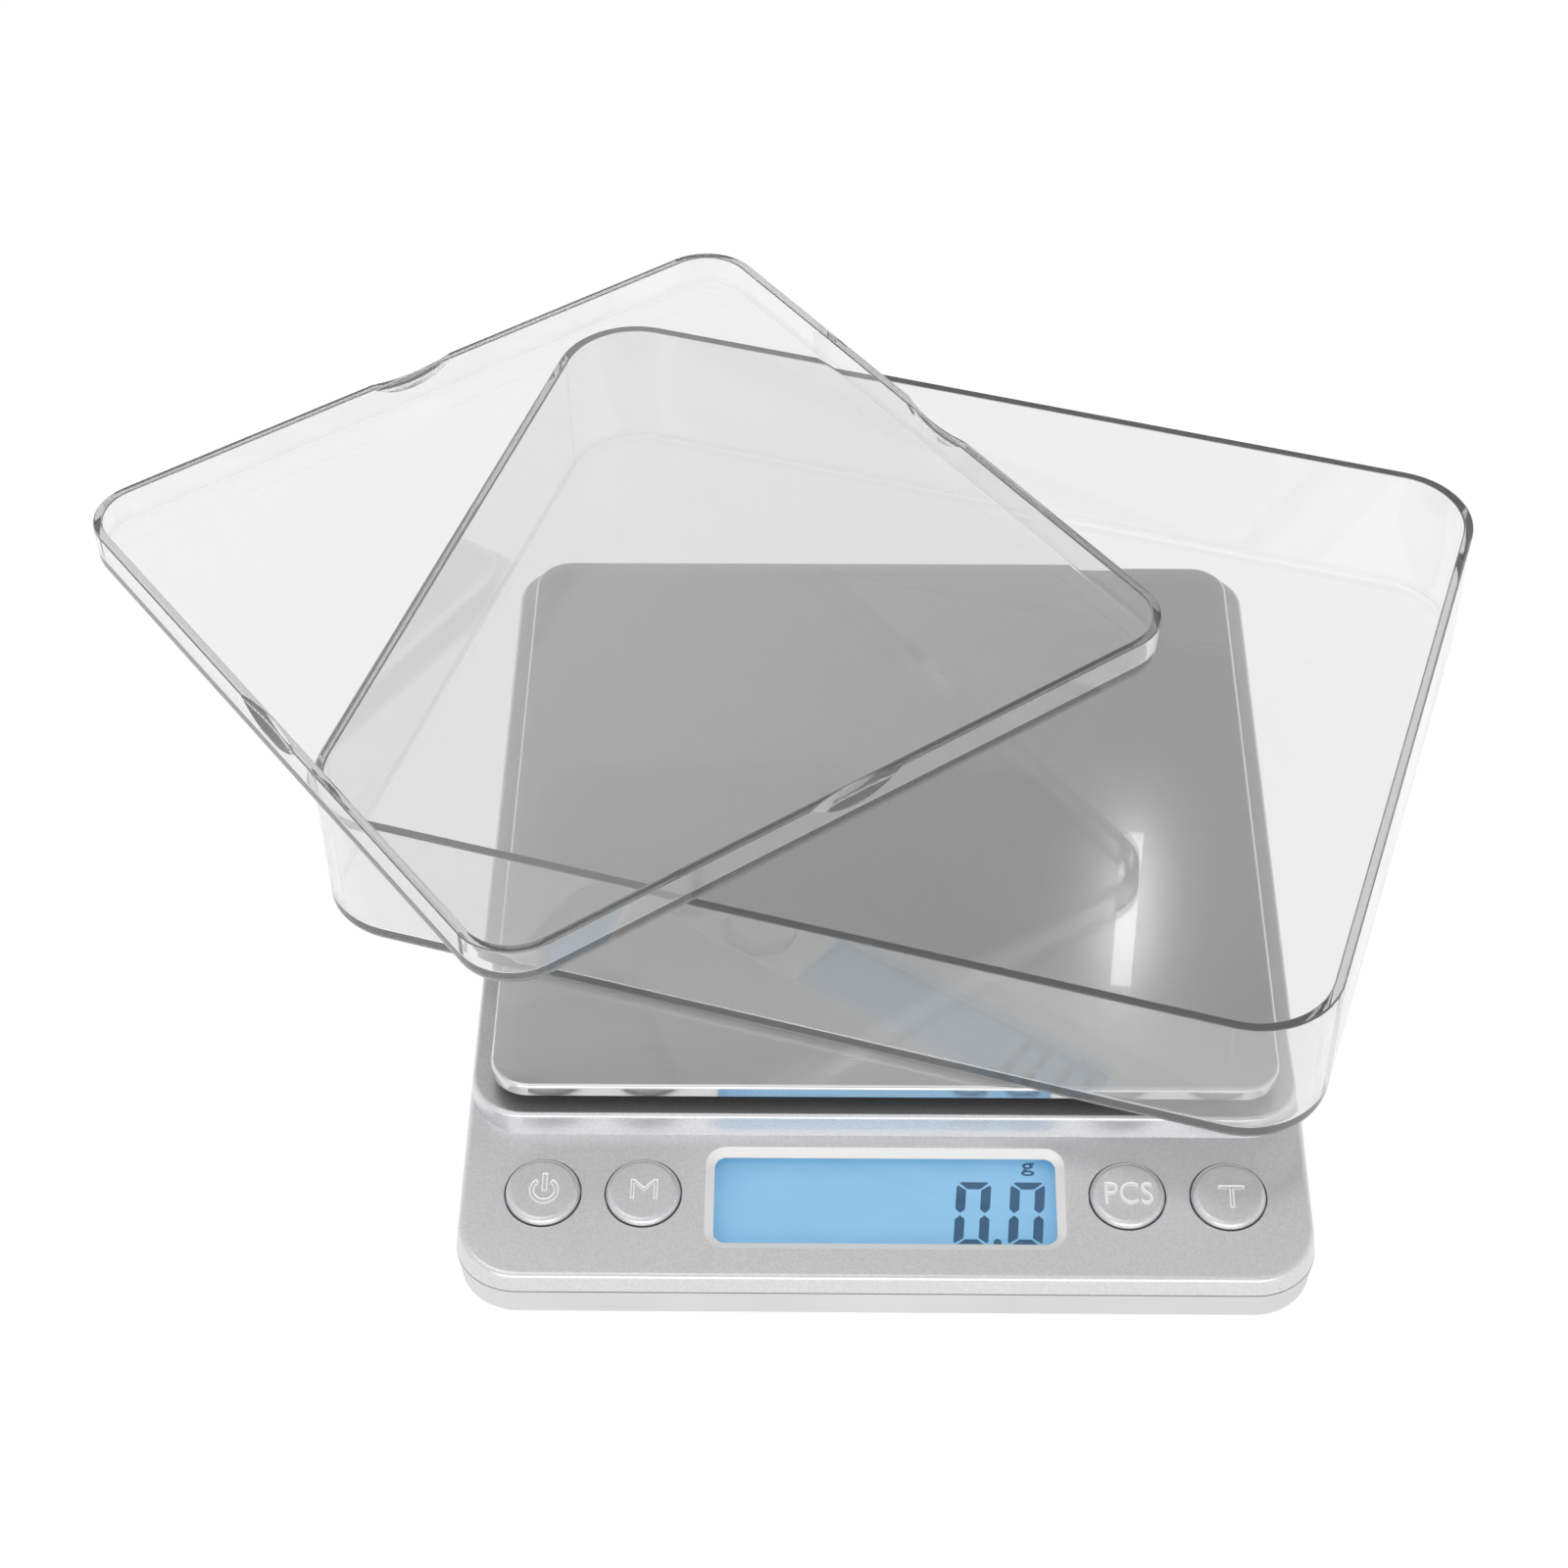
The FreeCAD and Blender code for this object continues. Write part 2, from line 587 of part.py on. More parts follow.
def window_cutter():
    """The window's sloped frame, its straight edge and the lens pocket behind it."""
    middle = d.window_place
    clear = centred_box(d.window_width, d.window_depth, 0, middle)
    wide = centred_box(d.window_width + d.window_bevel * 2, d.window_depth + d.window_bevel * 2,
                       0, middle)
    frame = doc.addObject("PartDesign::Body", "window_frame")
    bottom = new_sketch(frame, "XY_Plane", -d.window_recess)
    draw_round_box(bottom, clear, d.window_corner)
    top = new_sketch(frame, "XY_Plane", 0)
    draw_round_box(top, wide, d.window_corner + d.window_bevel)
    loft = frame.newObject("PartDesign::AdditiveLoft", "window_frame_loft")
    loft.Profile = bottom
    loft.Sections = [top]
    through = round_box("window_through", clear, d.window_corner, -d.cover_wall * 2, d.cover_wall * 2)
    above = round_box("window_above", wide, d.window_corner + d.window_bevel, 0, 1)
    lens = centred_box(d.window_width + (d.lens_margin + d.lens_play) * 2,
                       d.window_depth + (d.lens_margin + d.lens_play) * 2, 0, middle)
    pocket = round_box("lens_pocket", lens, d.window_corner, -d.cover_wall * 3,
                       d.cover_wall * 3 - LENS_TOP)
    return on_panel(fuse("window_cutter", frame, through, above, pocket))


def top_cover():
    """The silver cover: panel, plinth, display window, key holes and screw bosses."""
    outer = cover_form("cover_outer", as_size(0), d.lip_round)
    rounded = blend_edges("cover_top", outer, d.plinth_round, at_height(d.plinth_height))
    shell = cut("cover_shell", rounded, cover_form("cover_inner", d.cover_wall))
    bosses = [rod(f"cover_boss{n}", x, y, d.boss_diameter, d.column_top,
                  d.plinth_height - d.cover_wall / 2 - d.column_top)
              for n, (x, y) in enumerate(COLUMNS)]
    board_bosses = [on_panel(rod(f"board_boss{n}", x, d.board_screw_place, d.board_boss,
                                 -BOARD_TOP, BOARD_TOP - d.cover_wall / 2))
                    for n, x in enumerate((-d.board_screw_x, d.board_screw_x))]
    body = fuse("cover_body", shell, *bosses, *board_bosses)
    pilots = [rod(f"cover_pilot{n}", x, y, d.case_screw + d.screw_play * 2, d.column_top - 1,
                  d.case_screw_seat + d.case_screw_length + 2 - d.column_top)
              for n, (x, y) in enumerate(COLUMNS)]
    board_pilots = [on_panel(rod(f"board_pilot{n}", x, d.board_screw_place,
                                 d.board_screw + d.screw_play * 2, -BOARD_TOP - 1, 4))
                    for n, x in enumerate((-d.board_screw_x, d.board_screw_x))]
    key_holes = [on_panel(rod(f"key_hole{n}", x, d.key_place, d.key_hole, -ABOVE / 5, ABOVE))
                 for n, x in enumerate(KEYS.values())]
    opening = round_box("post_opening",
                        centred_box(d.post_width + d.post_play * 2, d.post_length + d.post_play * 2,
                                    0, POST_Y),
                        d.post_play, COVER_CEILING - 1, ABOVE)
    tools = [*pilots, *board_pilots, *key_holes, opening, window_cutter()]
    keep("top_cover", cut("top_cover", body, *tools))


def bottom_case():
    """The bottom case: floor, walls, tongue, battery bay, columns, load-cell seat and recesses."""
    rise = d.seam_height - d.foot_height
    drift = rise * tangent(d.bottom_draft)
    half = d.case_width / 2 - drift
    outline = (-half, -d.case_front + drift, half, d.case_back - drift)
    solid = round_box("case_solid", outline, d.case_corner - drift, d.foot_height, rise, d.bottom_draft)
    solid = blend_edges("case_rounded", solid, d.bottom_round, at_height(d.foot_height))
    inner_half = d.case_width / 2 - d.case_wall
    inside = (-inner_half, -d.case_front + d.case_wall, inner_half, d.case_back - d.case_wall)
    inner_corner = d.case_corner - d.case_wall
    hollow = round_box("case_hollow", inside, inner_corner, FLOOR_TOP, ABOVE)
    step = d.cover_wall + d.tongue_play + (d.tongue_height + d.seam_gap) * tangent(d.side_draft)
    step_half = d.case_width / 2 - step
    ring = (-step_half, -d.case_front + step, step_half, d.case_back - step)
    tongue = cut("case_tongue",
                 round_box("tongue_outer", ring, d.case_corner - step, FLOOR_TOP,
                           d.seam_height + d.tongue_height - FLOOR_TOP),
                 round_box("tongue_inner", inside, inner_corner, 0, ABOVE))
    shell = cut("case_shell", solid, hollow)

    bay_outer = (-BAY_HALF - d.bay_wall, d.bay_front - d.bay_wall, BAY_HALF + d.bay_wall,
                 BAY_BACK + d.bay_wall)
    bay_inner = (-BAY_HALF, d.bay_front, BAY_HALF, BAY_BACK)
    bay_top = COVER_CEILING - d.bay_roof_gap
    bay = cut("bay_walls",
              block("bay_outer", bay_outer, FLOOR_TOP - 0.5, bay_top - FLOOR_TOP + 0.5),
              block("bay_inner", bay_inner, 0, ABOVE))
    seat_y = -POST_Y
    seat = block("beam_seat_block", centred_box(d.beam_width + 2, d.screw_pitch + 8, 0, seat_y),
                 FLOOR_TOP - 0.5, d.beam_seat - FLOOR_TOP + 0.5)
    columns = [rod(f"case_column{n}", x, y, d.column_diameter, FLOOR_TOP - 0.5,
                   d.column_top - FLOOR_TOP + 0.5)
               for n, (x, y) in enumerate(COLUMNS)]
    body = fuse("case_body", shell, tongue, bay, seat, *columns)

    tools = [block("door_opening", centred_box(d.door_width, DOOR_BACK - DOOR_FRONT, 0,
                                               (DOOR_BACK + DOOR_FRONT) / 2), 0, FLOOR_TOP + 0.05)]
    for n, (x, y) in enumerate(COLUMNS):
        tools.append(rod(f"column_hole{n}", x, y, d.case_screw + d.screw_play * 8, 0, ABOVE))
        tools.append(rod(f"column_recess{n}", x, y, d.case_screw_head + 0.6, 0, d.case_screw_seat))
    for n, y in enumerate((-OUTER_SCREW, -INNER_SCREW)):
        tools.append(rod(f"beam_hole{n}", 0, y, d.beam_screw + d.screw_play * 4, 0, ABOVE))
        tools.append(rod(f"beam_recess{n}", 0, y, d.beam_screw_head + 0.6, 0,
                         d.beam_seat - d.beam_head_height))
    for n, (x, y) in enumerate(foot_places()):
        tools.append(rod(f"foot_recess{n}", x, y, d.foot_diameter + d.foot_play * 2, 0,
                         d.foot_height + d.foot_sink))
    for n, y in enumerate((CELL_FRONT_Y, CELL_REAR_Y)):
        tools.append(block(f"lead_notch{n}", centred_box(4, d.lead_diameter * 2, -BAY_HALF, y),
                           bay_top - d.lead_diameter * 2, ABOVE))
    grip = centred_box(d.latch_width, 2.4, 0, DOOR_FRONT - 1)
    tools.append(block("latch_notch", grip, 0, d.foot_height + d.door_sheet / 2))
    keep("bottom_case", cut("bottom_case", body, *tools))


def foot_places():
    """Where the four feet stand: front left, front right, rear left, rear right."""
    return [(-d.foot_x, -d.foot_front), (d.foot_x, -d.foot_front),
            (-d.foot_x, d.foot_back), (d.foot_x, d.foot_back)]


def feet():
    """Four rubber feet, with a small bevel where they meet the table."""
    names = ["foot_front_left", "foot_front_right", "foot_rear_left", "foot_rear_right"]
    radius = d.foot_diameter / 2
    top = d.foot_height + d.foot_sink
    profile = [(0, 0), (radius - 0.3, 0), (radius, 0.3), (radius, top), (0, top)]
    for name, (x, y) in zip(names, foot_places()):
        keep(name, place(turned(name, profile), x, y))


def battery_cover():
    """The battery cover: plate, two tabs that hook over the casing floor, and a latch tongue."""
    plate = round_box("door_plate",
                      (-d.door_width / 2 + d.door_play, DOOR_FRONT + d.door_play,
                       d.door_width / 2 - d.door_play, DOOR_BACK - d.door_play),
                      0.5, d.foot_height, d.door_sheet)
    pieces = [plate]
    tab_level = FLOOR_TOP + d.tab_lift
    stem_back = DOOR_BACK - d.door_play
    for n, side in enumerate((-1, 1)):
        middle = d.door_width / 4 * side
        pieces.append(block(f"door_stem{n}",
                            (middle - d.tab_width / 2, stem_back - 0.6,
                             middle + d.tab_width / 2, stem_back),
                            d.foot_height, tab_level + d.tab_sheet - d.foot_height))
        pieces.append(block(f"door_tab{n}",
                            (middle - d.tab_width / 2, stem_back - 0.6,
                             middle + d.tab_width / 2, DOOR_BACK + d.tab_length),
                            tab_level, d.tab_sheet))
    tongue_front = DOOR_FRONT + d.door_play + 0.2
    pieces.append(block("door_latch", (-d.latch_width / 2, tongue_front, d.latch_width / 2,
                                       tongue_front + 0.8),
                        d.foot_height, d.door_sheet + d.latch_height))
    grooves = [block(f"door_groove{n}",
                     centred_box(d.latch_width, 0.6, 0, DOOR_FRONT + 3 + n * 1.2),
                     0, d.foot_height + 0.3) for n in range(4)]
    keep("battery_cover", cut("battery_cover", fuse("door_body", *pieces), *grooves))


def case_screws():
    """Four pan-head screws that draw the casings together from below."""
    screws = [place(pan_screw(f"case_screw{n}", d.case_screw, d.case_screw_head,
                              d.case_head_height, d.case_screw_length),
                    x, y, d.case_screw_seat)
              for n, (x, y) in enumerate(COLUMNS)]
    keep("case_screws", group("case_screws", screws))


def pan_screw(name, thread, head, head_height, length):
    """A screw that points up, with its head's seat at zero and a cross recess in its head."""
    tip = thread / 2 - 0.4
    profile = [(0, -head_height), (head / 2 - 0.4, -head_height), (head / 2, -head_height + 0.5),
               (head / 2, 0), (thread / 2, 0), (thread / 2, length - 0.8), (tip, length), (0, length)]
    body = turned(name + "_blank", profile)
    slots = [block(f"{name}_slot{n}", centred_box(*sides), -head_height - 0.1, head_height / 2)
             for n, sides in enumerate(((head * 0.6, 0.5), (0.5, head * 0.6)))]
    return cut(name, body, *slots)


# ---------------------------------------------------------------- platform and load cell

def platform_pan():
    """The stainless pan: a flat sheet with its edge turned down all round."""
    outline = centred_box(d.pan_width, d.pan_depth)
    solid = round_box("pan_solid", outline, d.pan_corner, d.platform_height - d.pan_skirt, d.pan_skirt)
    solid = blend_edges("pan_rounded", solid, d.pan_round, at_height(d.platform_height))
    inside = centred_box(d.pan_width - d.pan_sheet * 2, d.pan_depth - d.pan_sheet * 2)
    hollow = round_box("pan_hollow", inside, d.pan_corner - d.pan_sheet, 0, PAN_INSIDE)
    keep("platform_pan", cut("platform_pan", solid, hollow))


def platform_carrier():
    """The plastic carrier under the pan: plate, ribs, overload stops and the load cell's post."""
    edge = (d.pan_sheet + d.carrier_play) * 2
    plate = round_box("carrier_plate_block",
                      centred_box(d.pan_width - edge, d.pan_depth - edge),
                      d.pan_corner - edge / 2, CARRIER_BOTTOM, d.carrier_plate)
    rib_length = d.pan_width - edge - 10
    rib_level = CARRIER_BOTTOM - d.carrier_rib
    height = d.carrier_rib + 0.2
    pieces = [plate]
    for n, offset in enumerate((-d.rib_offset, d.rib_offset)):
        pieces.append(block(f"rib_across{n}", centred_box(rib_length, d.rib_width, 0, offset),
                            rib_level, height))
        pieces.append(block(f"rib_along{n}", centred_box(d.rib_width, rib_length, offset, 0),
                            rib_level, height))
    pieces.append(round_box("carrier_post",
                            centred_box(d.post_width, d.post_length, 0, POST_Y), 1.0,
                            BEAM_TOP, CARRIER_BOTTOM - BEAM_TOP + 0.2))
    stop_bottom = d.plinth_height + d.stop_gap
    stop_x = d.pan_width / 2 - d.stop_inset
    stop_y = d.pan_depth / 2 - d.stop_inset
    for n, (x, y) in enumerate(((-stop_x, -stop_y), (stop_x, -stop_y), (-stop_x, stop_y),
                                (stop_x, stop_y))):
        pieces.append(rod(f"overload_stop{n}", x, y, d.stop_diameter, stop_bottom,
                          CARRIER_BOTTOM - stop_bottom + 0.2))
    body = fuse("carrier_body", *pieces)
    tools = [place(sunk_screw(f"carrier_hole{n}", d.sink_depth, ABOVE), 0, y, PAN_INSIDE)
             for n, y in enumerate((INNER_SCREW, OUTER_SCREW))]
    keep("platform_carrier", cut("platform_carrier", body, *tools))


def sunk_screw(name, margin, length):
    """A countersunk screw that points down, with its head's flat face at zero, grown by margin."""
    radius = d.beam_screw / 2 + margin
    head = d.beam_screw_head / 2 + margin
    depth = d.beam_screw_head / 2 - d.beam_screw / 2
    profile = [(0, 0), (head, 0), (head, -0.2), (radius, -depth - 0.2), (radius, -as_size(length)),
               (0, -as_size(length))]
    return turned(name, profile)


def load_cell():
    """The aluminium bending beam: thin sections at two bores, and a screw pair in each end."""
    bar = block("beam_bar", centred_box(d.beam_width, d.beam_length), d.beam_seat, d.beam_height)
    middle = d.beam_seat + d.beam_height / 2
    across = -d.beam_width
    bores = [pad(f"beam_bore{n}", lambda sketch, y=y: draw_circle(sketch, y, middle, d.beam_bore),
                 across, d.beam_width * 2, plane="YZ_Plane")
             for n, y in enumerate((-d.bore_offset, d.bore_offset))]
    low, high = middle - d.beam_slot / 2, middle + d.beam_slot / 2
    slot_outline = [(-d.bore_offset, low), (d.bore_offset, low), (d.bore_offset, high),
                    (-d.bore_offset, high)]
    slot = pad("beam_slot_cutter", lambda sketch: draw_polygon(sketch, slot_outline),
               across, d.beam_width * 2, plane="YZ_Plane")
    holes = [rod(f"beam_thread{n}", 0, y, d.beam_screw + d.screw_play * 2, 0, ABOVE)
             for n, y in enumerate((-OUTER_SCREW, -INNER_SCREW, INNER_SCREW, OUTER_SCREW))]
    keep("load_cell", cut("load_cell", bar, *bores, slot, *holes))


def strain_gauges():
    """Four gauge films, over and under the two thin sections."""
    films = []
    for n, y in enumerate((-d.bore_offset, d.bore_offset)):
        outline = centred_box(d.gauge_width, d.gauge_length, 0, y)
        films.append(block(f"gauge_top{n}", outline, BEAM_TOP, d.gauge_film))
        films.append(block(f"gauge_under{n}", outline, d.beam_seat - d.gauge_film, d.gauge_film))
    keep("strain_gauges", group("strain_gauges", films))


def load_cell_screws():
    """Two screws hold the fixed end from below, and two hold the carrier to the free end."""
    seat = d.beam_seat - d.beam_head_height
    length = BEAM_TOP - seat - 1
    base = [place(pan_screw(f"base_screw{n}", d.beam_screw, d.beam_screw_head, d.beam_head_height,
                            length), 0, y, seat)
            for n, y in enumerate((-OUTER_SCREW, -INNER_SCREW))]
    keep("load_cell_base_screws", group("load_cell_base_screws", base))
    reach = PAN_INSIDE - d.beam_seat - 1
    carried = []
    for n, y in enumerate((INNER_SCREW, OUTER_SCREW)):
        blank = place(sunk_screw(f"platform_screw_blank{n}", 0, reach), 0, y,
                      PAN_INSIDE - d.sink_depth)
        slots = [block(f"platform_screw{n}_slot{m}", centred_box(width, depth, 0, y),
                       PAN_INSIDE - 0.9, 2)
                 for m, (width, depth) in enumerate(((2.6, 0.5), (0.5, 2.6)))]
        carried.append(cut(f"platform_screw{n}", blank, *slots))
    keep("load_cell_platform_screws", group("load_cell_platform_screws", carried))


# ---------------------------------------------------------------- display, board and keys

def display():
    """Lens, display glass, backlight, contact strip and the holder round them."""
    middle = d.window_place
    lens = centred_box(d.window_width + d.lens_margin * 2, d.window_depth + d.lens_margin * 2,
                       0, middle)
    keep("display_lens", on_panel(round_box("display_lens", lens, d.window_corner,
                                            -LENS_TOP - d.lens_sheet, d.lens_sheet)))
    glass = centred_box(d.glass_width, d.glass_depth, 0, middle)
    keep("lcd_glass", on_panel(block("lcd_glass", glass, -LIGHT_TOP, d.glass_sheet)))
    light_front = middle - d.glass_depth / 2 + 0.3
    half = d.glass_width / 2 - 0.4
    light = (-half, light_front, half, light_front + d.light_depth)
    keep("lcd_backlight", on_panel(block("lcd_backlight", light, -BOARD_TOP, d.light_sheet)))
    strip_rear = middle + d.glass_depth / 2 - 0.3
    strip = (-d.strip_length / 2, strip_rear - d.strip_width, d.strip_length / 2, strip_rear)
    keep("contact_strip", on_panel(block("contact_strip", strip, -BOARD_TOP, d.light_sheet)))
    inner = centred_box(d.glass_width + d.holder_play * 2, d.glass_depth + d.holder_play * 2,
                        0, middle)
    grow = (d.holder_play + d.holder_wall) * 2
    outer = centred_box(d.glass_width + grow, d.glass_depth + grow, 0, middle)
    frame = block("holder_outer", outer, -BOARD_TOP, d.light_sheet + d.glass_sheet)
    hollow = block("holder_inner", inner, -BOARD_TOP - 1, ABOVE)
    keep("lcd_holder", on_panel(cut("lcd_holder", frame, hollow)))


def circuit_board():
    """The board behind the panel, its controller chip and the two screws that hold it."""
    outline = (-d.board_width / 2, d.board_front, d.board_width / 2, d.board_rear)
    plate = round_box("board_plate", outline, 1.0, -BOARD_BOTTOM, d.board_sheet)
    sides = (-d.board_screw_x, d.board_screw_x)
    holes = [rod(f"board_hole{n}", x, d.board_screw_place, d.board_screw + d.screw_play * 4,
                 -ABOVE, ABOVE) for n, x in enumerate(sides)]
    keep("main_board", on_panel(cut("main_board", plate, *holes)))
    chip = centred_box(d.chip_size, d.chip_size, 0, d.board_rear - d.chip_size)
    keep("controller_chip", on_panel(block("controller_chip", chip,
                                           -BOARD_BOTTOM - d.chip_height, d.chip_height)))
    screws = [place(pan_screw(f"board_screw{n}", d.board_screw, d.board_screw_head,
                              d.board_head_height, d.board_sheet + 2.4),
                    x, d.board_screw_place, -BOARD_BOTTOM)
              for n, x in enumerate(sides)]
    keep("board_screws", on_panel(group("board_screws", screws)))


def keys():
    """Four round keys, each with the housing and plunger of the switch under it."""
    cap = d.key_hole - d.key_play * 2
    flange = d.key_hole + d.flange_margin * 2
    well = d.plunger_reach + d.plunger_well
    for name, x in KEYS.items():
        stem = rod(f"key_stem_{name}", x, d.key_place, cap, -FLANGE_BOTTOM,
                   FLANGE_BOTTOM + d.key_rise)
        stem = blend_edges(f"key_round_{name}", stem, d.key_round, at_height(d.key_rise))
        skirt = rod(f"key_flange_{name}", x, d.key_place, flange, -FLANGE_BOTTOM, d.flange_sheet)
        keep(f"button_{name}", on_panel(fuse(f"button_{name}", stem, skirt)))
        housing = block(f"switch_block_{name}",
                        centred_box(d.switch_size, d.switch_size, x, d.key_place),
                        -BOARD_TOP, BOARD_TOP - SWITCH_TOP)
        bore = rod(f"switch_bore_{name}", x, d.key_place,
                   d.plunger_diameter + d.plunger_play * 2, -SWITCH_TOP - well, ABOVE)
        keep(f"switch_{name}", on_panel(cut(f"switch_{name}", housing, bore)))
        plunger = rod(f"plunger_{name}", x, d.key_place, d.plunger_diameter,
                      -SWITCH_TOP - d.plunger_reach, d.plunger_reach + d.switch_lower)
        keep(f"plunger_{name}", on_panel(plunger))


# ---------------------------------------------------------------- batteries and wiring

def batteries():
    """Two AAA cells side by side, pointing opposite ways."""
    radius = d.cell_diameter / 2
    can = d.cell_length - d.nub_length
    nub = d.nub_diameter / 2
    profile = [(0, 0), (radius - 0.4, 0), (radius, 0.4), (radius, can - 0.4), (radius - 0.4, can),
               (nub, can), (nub, d.cell_length), (0, d.cell_length)]
    reach = BAY_HALF - d.contact_sheet - d.contact_bump
    right = Vector(0, 1, 0)
    front = turned("battery_front", profile)
    keep("battery_front", place(front, reach - d.cell_length, CELL_FRONT_Y, CELL_Z, as_size(90), right))
    rear = turned("battery_rear", profile)
    keep("battery_rear", place(rear, d.cell_length - reach, CELL_REAR_Y, CELL_Z, as_size(-90), right))


def contact_plate(name, side, ends, bump_y):
    """A sheet contact against one end wall of the bay, with a dimple where a nub meets it."""
    wall = BAY_HALF * side
    face = (BAY_HALF - d.contact_sheet) * side
    low_x, high_x = (face, wall) if side > 0 else (wall, face)
    low_z = FLOOR_TOP + d.contact_foot
    plate = block(name + "_plate", (low_x, ends[0], high_x, ends[1]), low_z, d.contact_height)
    if bump_y is None:
        return plate
    bump = turned(name + "_bump", [(0, 0), (d.nub_diameter / 2 - 0.2, 0),
                                   (d.nub_diameter / 2 - 0.6, d.contact_bump), (0, d.contact_bump)])
    place(bump, face, bump_y, CELL_Z, as_size(-90 * side), Vector(0, 1, 0))
    return fuse(name, plate, bump)


def contact_spring(name, side, y):
    """A cone of spring wire between a contact plate and a cell's flat end."""
    helix = doc.addObject("Part::Helix", name + "_helix")
    helix.Style = 1
    wire = d.spring_wire
    free = d.spring_length - wire * 1.2
    helix.setExpression("Height", free.text)
    helix.setExpression("Pitch", (free / d.spring_turns).text)
    helix.setExpression("Radius", d.spring_base.text)
    helix.setExpression("Angle", (-d.spring_taper).text)
    ring = doc.addObject("Part::Circle", name + "_ring")
    ring.setExpression("Radius", (wire / 2).text)
    place(ring, d.spring_base, 0, 0, as_size(90), Vector(1, 0, 0))
    sweep = doc.addObject("Part::Sweep", name)
    sweep.Sections = [ring]
    sweep.Spine = (helix, ["Edge1"])
    sweep.Solid = True
    sweep.Frenet = True
    start = (BAY_HALF - d.contact_sheet) * side - wire * 0.6 * side
    return place(sweep, start, y, CELL_Z, as_size(-90 * side), Vector(0, 1, 0))


def contacts():
    """The bridge contact at one end of the bay, and the two terminal contacts at the other."""
    single = d.contact_width / 2
    bridge = contact_plate("bridge", 1, (CELL_FRONT_Y - single, CELL_REAR_Y + single), CELL_FRONT_Y)
    keep("battery_bridge_contact", bridge)
    keep("battery_bridge_spring", contact_spring("bridge_spring", 1, CELL_REAR_Y))
    positive = contact_plate("positive", -1, (CELL_REAR_Y - single, CELL_REAR_Y + single), CELL_REAR_Y)
    keep("battery_positive_contact", positive)
    negative = contact_plate("negative", -1, (CELL_FRONT_Y - single, CELL_FRONT_Y + single), None)
    keep("battery_negative_contact", negative)
    keep("battery_negative_spring", contact_spring("negative_spring", -1, CELL_FRONT_Y))


def lead(label, route):
    """An insulated wire along straight runs joined by tangent arcs."""
    edges = []
    start = route[0]
    for before, corner, after in zip(route, route[1:], route[2:]):
        back = (before - corner).normalize()
        ahead = (after - corner).normalize()
        turn = math.pi - back.getAngle(ahead)
        shorter = min((before - corner).Length, (after - corner).Length)
        trim = 0.45 * shorter
        radius = trim / math.tan(turn / 2)
        centre_way = (back + ahead).normalize()
        centre = corner + centre_way * math.hypot(trim, radius)
        entry, leave = corner + back * trim, corner + ahead * trim
        halfway = centre - centre_way * radius
        edges.append(Part.LineSegment(start, entry).toShape())
        edges.append(Part.Arc(entry, halfway, leave).toShape())
        start = leave
    edges.append(Part.LineSegment(start, route[-1]).toShape())
    path = Part.Wire(edges)
    along = (route[1] - route[0]).normalize()
    section = Part.Wire(Part.Circle(route[0], along, d.lead_diameter.value / 2).toShape())
    tube = path.makePipeShell([section], True, True)
    expected = math.pi * d.lead_diameter.value ** 2 / 4 * path.Length
    if abs(tube.Volume - expected) > 0.02 * expected:
        raise ValueError(f"{label} is {tube.Volume:.1f} mm3, not {expected:.1f}")
    wire = doc.addObject("Part::Feature", label)
    wire.Shape = tube
    keep(label, wire)


def leads():
    """Four leads from the load cell and two from the battery contacts, to the board's rear edge."""
    lift = d.lead_diameter.value / 2 + d.lead_lift.value
    board_top = -BOARD_TOP.value + lift
    landing, edge = d.board_rear.value - 3.4, d.board_rear.value
    beam_top = BEAM_TOP.value + d.gauge_film.value + lift
    colours = ["red", "black", "green", "white"]
    for index, colour in enumerate(colours):
        x = (index - 1.5) * d.lead_pitch.value
        route = [
            Vector(x, -d.bore_offset.value - 1, beam_top),
            Vector(x, -d.beam_length.value / 2 - 4, beam_top),
            panel_point(x, edge + 2, board_top + 0.2),
            panel_point(x, landing, board_top),
        ]
        lead(f"load_cell_lead_{colour}", route)
    wall_x = -BAY_HALF.value
    lead_z = COVER_CEILING.value - d.bay_roof_gap.value - d.lead_diameter.value
    run_z = FLOOR_TOP.value + 4
    for index, (name, y) in enumerate((("negative", CELL_FRONT_Y), ("positive", CELL_REAR_Y))):
        x = wall_x - 5.5 - index * d.lead_pitch.value
        route = [
            Vector(wall_x - d.lead_lift.value, y.value, lead_z),
            Vector(x, y.value, lead_z),
            Vector(x, y.value - 10, run_z),
            Vector(x, -d.beam_length.value / 2 - 6, run_z),
            panel_point(x, edge + 3, board_top + 1.0),
            panel_point(x, landing, board_top),
        ]
        lead(f"battery_lead_{name}", route)


# ---------------------------------------------------------------- trays

def tray_form(name, width, depth, height, draft, corner, foot_round):
    """An open tray with leaning walls, standing on zero with its middle on the Z axis."""
    flare = height * tangent(draft)
    outline = centred_box(width - flare * 2, depth - flare * 2)
    solid = round_box(name + "_solid", outline, corner, 0, height, draft)
    solid = blend_edges(name + "_foot", solid, foot_round, at_height(0))
    inner_flare = (height - d.tray_floor) * tangent(draft)
    inside = centred_box(width - (inner_flare + d.tray_wall) * 2, depth - (inner_flare + d.tray_wall) * 2)
    over = height - d.tray_floor + 1
    hollow = round_box(name + "_hollow", inside, corner - d.tray_wall + d.tray_floor * tangent(draft),
                       d.tray_floor, over, draft)
    hollow = blend_edges(name + "_well", hollow, foot_round - d.tray_wall / 2, at_height(d.tray_floor))
    shell = cut(name + "_shell", solid, hollow)
    return blend_edges(name + "_rim", shell, d.rim_round, at_height(height))


